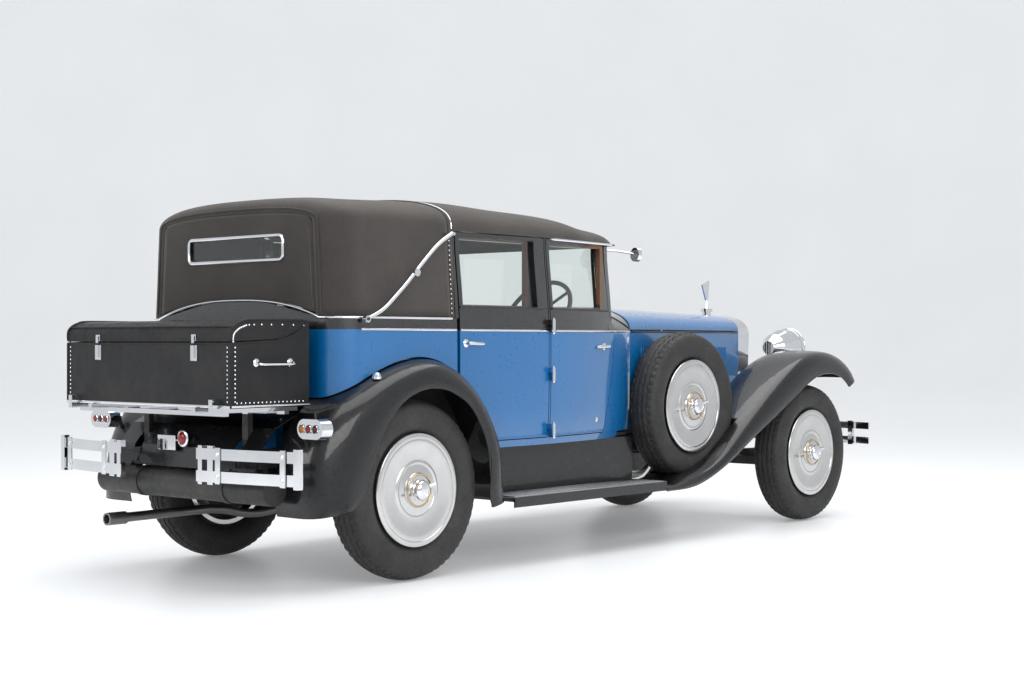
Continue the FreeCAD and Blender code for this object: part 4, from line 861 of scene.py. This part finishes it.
def trunk_trim():
    piping, lid_piping, studs, lid_studs, chrome = Shape(), Shape(), Shape(), Shape(), Shape()
    for side in (-1, 1):
        y = side * TRUNK_HALF
        piping.sweep([(TRUNK_BACK, y, z) for z in spread(TRUNK_LOW, 1.160, 6)], ring(0.0055, 10), (0, 1, 0))
        piping.sweep([(x, y, z - 0.005) for x, z in side_curve(TRUNK_SEAM)], ring(0.004, 8), (0, side, 0))
        lid_piping.sweep([(x, y, z) for x, z in side_curve(TRUNK_TOP_LINE)], ring(0.0055, 10), (0, side, 0))
        lid_piping.sweep([(x, y, z + 0.0075) for x, z in side_curve(TRUNK_SEAM[:-1])], ring(0.0035, 8),
                         (0, side, 0))
        stud_row(studs, [(TRUNK_BACK, side * 0.607, z) for z in spread(0.895, 1.140, 13)], (-1, 0, 0))
        stud_row(studs, [(-0.996, y, z) for z in spread(0.895, 1.140, 13)], (0, side, 0))
        stud_row(lid_studs, [(x + 0.014, y, z - 0.022) for x, z in side_curve(TRUNK_TOP_LINE, 5)][2:],
                 (0, side, 0))
        stud_row(studs, [(x, y, 0.889) for x in spread(-0.985, -0.59, 17)], (0, side, 0))
        path = [(-0.874, y + side * r, 1.070 + d) for r, d in ((0.0, 0), (0.018, 0), (0.030, -0.006))]
        path += [(x, y + side * 0.034, 1.062) for x in spread(-0.85, -0.694, 6)]
        path += [(-0.670, y + side * r, 1.070 + d) for r, d in ((0.030, -0.006), (0.018, 0), (0.0, 0))]
        chrome.sweep(smooth_path(path, 4), ring(0.0062, 10), (0, 0, 1))
        for x in (-0.874, -0.670):
            chrome.lathe([(0.019, -0.001), (0.019, 0.003), (0.014, 0.006), (0.008, 0.007), (0, 0.007)],
                         (x, y, 1.070), (0, side, 0), 24)
        chrome.sweep([(x, y + side * 0.002, 0.872) for x in spread(TRUNK_BACK, TRUNK_FRONT, 5)],
                     half_round(0.012, 0.005), (0, side, 0))
    ys = spread(-TRUNK_HALF, TRUNK_HALF, 9)
    for target, z in ((piping, 1.158), (lid_piping, 1.1705)):
        target.sweep([(TRUNK_BACK, y, z) for y in ys], ring(0.004, 8), (1, 0, 0))
    lid_piping.sweep([(-1.006, y, 1.236) for y in ys], ring(0.0045, 8), (1, 0, 0))
    chrome.sweep([(TRUNK_BACK - 0.001, y, 0.872) for y in ys], half_round(0.014, 0.006), (-1, 0, 0))
    for y in (-0.371, 0.371):
        chrome.block((TRUNK_BACK - 0.006, y - 0.024, 1.078), (TRUNK_BACK + 0.001, y + 0.024, 1.150), 0.0025)
        chrome.block((TRUNK_BACK - 0.014, y - 0.010, 1.090), (TRUNK_BACK - 0.004, y + 0.010, 1.150), 0.003)
    for y in (-0.543, 0.543):
        hook = [(TRUNK_BACK, y, 0.900), (TRUNK_BACK - 0.022, y, 0.902), (TRUNK_BACK - 0.036, y, 0.890),
                (TRUNK_BACK - 0.034, y, 0.872), (TRUNK_BACK - 0.020, y, 0.866)]
        chrome.sweep(smooth_path(hook, 5), ring(0.006, 10), (0, 1, 0))
    piping.piece("trunk_piping", "trunk", "body")
    lid_piping.piece("trunk_lid_piping", "trunk", "trunk_lid")
    studs.piece("trunk_studs", "chrome", "body")
    lid_studs.piece("trunk_lid_studs", "chrome", "trunk_lid")
    chrome.piece("trunk_fittings", "chrome", "body")
    hasps = Shape()
    for y in (-0.371, 0.371):
        hasps.block((TRUNK_BACK - 0.007, y - 0.017, 1.170), (TRUNK_BACK + 0.001, y + 0.017, 1.200), 0.0025)
        hasps.sweep([(TRUNK_BACK - 0.010, y, z) for z in spread(1.160, 1.192, 4)], half_round(0.018, 0.006),
                    (-1, 0, 0))
    hasps.piece("trunk_hasps", "chrome", "trunk_lid")


trunk_trim()


# --- rear fittings ------------------------------------------------------------------------
def rear_details():
    frame_path = []
    half_y, low, high, r = 0.362, 1.564, 1.683, 0.028
    for cy, cz, start in ((half_y - r, high - r, 0), (-half_y + r, high - r, 1), (-half_y + r, low + r, 2),
                          (half_y - r, low + r, 3)):
        for t in spread(0, 1, 7):
            a = math.pi / 2 * (start + t)
            frame_path.append((BODY_REAR - 0.006, cy + r * math.cos(a), cz + r * math.sin(a)))
    frame_piece = Shape().sweep(frame_path, half_round(0.017, 0.005), (-1, 0, 0), closed=True)
    frame_piece.piece("rear_window_frame", "chrome", "hood_rear")

    lenses = {-1: ("dark_lens", "red_lens", "amber_lens"), 1: ("red_lens", "dark_lens", "red_lens")}
    for side, keys in lenses.items():
        for n, (y, key) in enumerate(zip((0.845, 0.800, 0.755), keys)):
            met = found("tail_lamps", (-1.5, side * y, 0.767), (1, 0, 0))
            if not met:
                continue
            place = met[0]
            tag = ("right" if side < 0 else "left") + str(n + 1)
            Shape().lathe([(0.0175, 0.004), (0.014, 0.0085), (0.008, 0.011), (0, 0.012)], place, (-1, 0, 0),
                          24).piece("tail_lens_" + tag, key, "body")
            Shape().lathe([(0.0175, -0.002), (0.0205, 0.001), (0.0205, 0.005), (0.0175, 0.0065)], place,
                          (-1, 0, 0), 28).piece("tail_lens_rim_" + tag, "chrome", "body")
    housing = [(0, 0.03), (0.03, 0.024), (0.042, 0.008), (0.042, 0.0), (0.036, -0.004), (0, -0.004)]
    centre = Shape().lathe(housing, (-0.80, 0.0, 0.700), (1, 0, 0), 32)
    centre.block((-0.806, 0.050, 0.640), (-0.800, 0.190, 0.712), 0.002)
    centre.sweep([(-0.775, 0.0, 0.700), (-0.75, 0.0, 0.700), (-0.70, 0.0, 0.720)], ring(0.010), (0, 0, 1))
    centre.sweep([(-0.795, 0.03, 0.690), (-0.795, 0.06, 0.690)], ring(0.006), (0, 0, 1))
    centre.piece("centre_lamp_and_plate_bracket", "chrome", "body")
    lens = Shape().lathe([(0.034, -0.003), (0.028, 0.004), (0.014, 0.009), (0, 0.010)],
                         (-0.804, 0, 0.700), (-1, 0, 0), 32)
    lens.piece("centre_lamp_lens", "red_lens", "body")

    ties = Shape()
    for side in (-1, 1):
        for y in (0.44, 0.82):
            met = found("rear_bumpers", (-1.5, side * y, 0.545), (1, 0, 0))
            if met:
                x = met[0].x
                ties.block((x - 0.006, side * y - 0.017, 0.512), (x, side * y + 0.017, 0.680), 0.002)
                for z in (0.545, 0.648):
                    ties.lathe([(0.011, 0), (0.010, 0.004), (0.005, 0.006), (0, 0.0065)],
                               (x - 0.006, side * y, z), (-1, 0, 0), 16)
    if ties.verts:
        ties.piece("rear_bumper_ties", "chrome", "body")


rear_details()


# --- fenders and boards -------------------------------------------------------------------
REAR_LIP = [(-0.500, 0.385), (-0.420, 0.470), (-0.370, 0.600), (-0.310, 0.720), (-0.240, 0.810),
            (-0.149, 0.888), (-0.036, 0.933), (0.070, 0.942), (0.176, 0.923), (0.303, 0.857), (0.385, 0.761),
            (0.443, 0.645), (0.465, 0.500), (0.478, 0.330)]
FRONT_LIP = [(1.990, 0.310), (2.224, 0.317), (2.400, 0.355), (2.597, 0.430), (2.793, 0.528), (2.957, 0.613),
             (3.171, 0.717), (3.383, 0.824), (3.520, 0.893), (3.660, 0.945), (3.805, 0.962), (3.930, 0.942),
             (4.010, 0.905), (4.062, 0.867)]


def fender_beads():
    for name, lip in (("rear_fender_bead", REAR_LIP), ("front_fender_bead", FRONT_LIP)):
        shape = Shape().sweep(smooth_path([(x, -0.864, z) for x, z in lip], 6), ring(0.0055, 10), (0, 1, 0))
        both(shape, name, "black", "body")
    boards = Shape()
    for y in spread(-0.852, -0.640, 22):
        boards.sweep([(0.660, y, 0.365), (1.965, y, 0.365)], half_round(0.0055, 0.003, 6), (0, 0, 1))
    both(boards, "running_board_ribs", "aluminium", "body")
    edges = Shape()
    edges.sweep([(0.650, -0.866, 0.363), (1.972, -0.866, 0.363)], ring(0.004, 8), (0, 0, 1))
    edges.sweep([(0.652, -0.866, 0.364), (0.652, -0.626, 0.364)], ring(0.005, 8), (0, 0, 1))
    both(edges, "running_board_edges", "chrome", "body")
    place, _ = hit("rear_fenders", (-0.266, -0.79, 1.4), (0, 0, -1))
    bowl = [(0.024, -0.004), (0.024, 0.006), (0.021, 0.010), (0.018, 0.020), (0.010, 0.028), (0, 0.030)]
    dome = Shape().lathe(bowl, place, (0, 0, 1), 28)
    both(dome, "fender_marker_lamp", "chrome", "body")


fender_beads()


# --- front --------------------------------------------------------------------------------
def front_details():
    for side, tag in ((-1, "right"), (1, "left")):
        centre = (4.109, side * 0.365, 1.125)
        Shape().lathe([(0.1235, 0.0), (0.110, 0.006), (0.080, 0.012), (0.040, 0.0155), (0, 0.0165)], centre,
                      (1, 0, 0), 56).piece("headlamp_lens_" + tag, "glass", "body")
        Shape().lathe([(0.129 + 0.0065 * math.cos(TAU * k / 10), 0.0065 * math.sin(TAU * k / 10))
                       for k in range(10)], (4.106, side * 0.365, 1.125), (1, 0, 0), 72,
                      True).piece("headlamp_rim_" + tag, "chrome", "body")
    slats = Shape()
    for y in spread(-0.262, 0.262, 27):
        top = 1.19 + 0.118 * (1 - abs(y / 0.281) ** 2.6) ** (1 / 2.6)
        slats.block((3.664, y - 0.0035, 0.642), (3.680, y + 0.0035, top), 0.0012)
    slats.piece("radiator_shutters", "chrome", "body")
    louvres = Shape()
    for x in spread(2.20, 3.36, 42):
        path, normals = [], []
        for z in spread(0.90, 1.13, 6):
            met = found("bonnet_sides", (x, -1.3, z), (0, 1, 0))
            if met:
                path.append(met[0])
                normals.append(met[1])
        if len(path) == 6:
            louvres.sweep(path, half_round(0.011, 0.007, 6), normals)
    if louvres.verts:
        both(louvres, "bonnet_louvres", "blue", "body")
    side_moulding("bonnet_shoulder_line", "bonnet_sides", "body", 1.2265, 2.05, 3.55, 0.012, 0.006, "black")


front_details()


# --- seats --------------------------------------------------------------------------------
def pad(name, low, high, lean=0.0, pleats=8):
    """A crowned seat pad with stitched pleats; lean moves its top backwards."""
    bm = bmesh.new()
    bmesh.ops.create_cube(bm, size=2.0)
    bmesh.ops.subdivide_edges(bm, edges=bm.edges[:], cuts=23, use_grid_fill=True)
    low, high = Vector(low), Vector(high)
    centre, half = (low + high) / 2, (high - low) / 2
    flat_axis = 0 if half.x < half.z else 2
    for v in bm.verts:
        p = v.co.copy()
        norm = (abs(p.x) ** 5 + abs(p.y) ** 5 + abs(p.z) ** 5) ** 0.2
        q = p / norm
        groove = abs(math.sin(math.pi * pleats * (q.y + 1) / 2)) ** 0.6
        swell = 0.86 + 0.14 * groove * (1 - abs(q.y) ** 6)
        q[flat_axis] *= swell
        v.co = Vector(centre[k] + q[k] * half[k] for k in range(3))
        v.co.x += SHIFT - lean * (v.co.z - low.z) / (high.z - low.z)
    mesh = bpy.data.meshes.new(name)
    bm.to_mesh(mesh)
    bm.free()
    mesh.shade_smooth()
    obj = bpy.data.objects.new(name, mesh)
    bpy.context.scene.collection.objects.link(obj)
    give(obj, "seat")
    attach(obj, "body")
    return obj


def seats():
    base = Shape()
    base.block((0.84, -0.52, 0.640), (1.27, 0.52, 0.80), 0.01)
    base.block((-0.36, -0.52, 0.732), (0.19, 0.52, 0.84), 0.01)
    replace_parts(base.piece("seat_bases", "seat", "body"), "seats")
    pad("front_seat_cushion", (0.86, -0.530, 0.80), (1.29, 0.530, 0.975))
    pad("front_seat_back", (0.80, -0.530, 0.93), (0.93, 0.530, 1.325), 0.05)
    pad("rear_seat_cushion", (-0.30, -0.530, 0.83), (0.20, 0.530, 0.995))
    pad("rear_seat_back", (-0.34, -0.530, 0.96), (-0.18, 0.530, 1.335), 0.03)


seats()


# --- stage --------------------------------------------------------------------------------
def studio_sweep():
    """Pale floor that curves up into a round backdrop."""
    floor_radius, curve, height, rings = 20.0, 5.0, 12.0, 10
    profile = [(0.0, 0.0), (floor_radius * 0.5, 0.0), (floor_radius, 0.0)]
    for i in range(1, rings + 1):
        turn = math.pi / 2 * i / rings
        profile.append((floor_radius + curve * math.sin(turn), curve * (1 - math.cos(turn))))
    profile.append((floor_radius + curve, height))
    mesh = bpy.data.meshes.new("studio_sweep")
    bm = bmesh.new()
    steps = 96
    loops = []
    turns = [TAU * i / steps for i in range(steps)]
    for radius, z in profile:
        loops.append([bm.verts.new((radius * math.cos(a), radius * math.sin(a), z)) for a in turns]
                     if radius else [bm.verts.new((0, 0, z))] * steps)
    for inner, outer in zip(loops, loops[1:]):
        for i in range(steps):
            j = (i + 1) % steps
            corners = [inner[i], outer[i], outer[j], inner[j]]
            bm.faces.new(list(dict.fromkeys(corners)))
    bm.to_mesh(mesh)
    bm.free()
    mesh.shade_smooth()
    sweep = bpy.data.objects.new("studio_sweep", mesh)
    bpy.context.scene.collection.objects.link(sweep)
    s = Shader("studio_floor", (0.80, 0.81, 0.82), 0.35, Specular_IOR_Level=0.3)
    s.link(s.mix(s.remap(s.noise(0.6, 4), 0, 1), (0.79, 0.80, 0.81), (0.82, 0.83, 0.835)), "Base Color")
    s.set("Emission Color", (1, 1, 1, 1))
    s.set("Emission Strength", 0.16)
    mesh.materials.append(s.material)


def area_light(name, place, target, size, power, colour=(1, 1, 1)):
    lamp = bpy.data.lights.new(name, "AREA")
    lamp.shape = "RECTANGLE"
    lamp.size, lamp.size_y = size
    lamp.energy = power
    lamp.color = colour
    holder = bpy.data.objects.new(name, lamp)
    holder.location = place
    holder.rotation_euler = (Vector(target) - Vector(place)).to_track_quat("-Z", "Y").to_euler()
    bpy.context.scene.collection.objects.link(holder)


def studio():
    studio_sweep()
    area_light("ceiling_softbox", (0.5, -0.5, 6.5), (0, 0, 0), (9, 6), 430)
    area_light("right_softbox", (-3.0, -8.5, 4.2), (0, 0, 0.9), (7, 3), 300)
    area_light("rear_softbox", (-9.0, 2.5, 3.6), (0, 0, 0.9), (4, 3), 160)
    world = bpy.data.worlds.new("studio_world")
    world.use_nodes = True
    background = world.node_tree.nodes["Background"]
    background.inputs["Color"].default_value = (0.95, 0.97, 1.0, 1)
    background.inputs["Strength"].default_value = 0.75
    scene = bpy.context.scene
    scene.world = world
    scene.view_settings.view_transform = "Standard"
    camera = bpy.data.objects.new("camera", bpy.data.cameras.new("camera"))
    camera.data.sensor_width = 36.0
    camera.data.lens = 58.44
    camera.location = (-7.4983, -6.4727, 1.1673)
    camera.rotation_euler = (math.radians(90), 0, math.radians(-48.91))
    scene.collection.objects.link(camera)
    scene.camera = camera


studio()
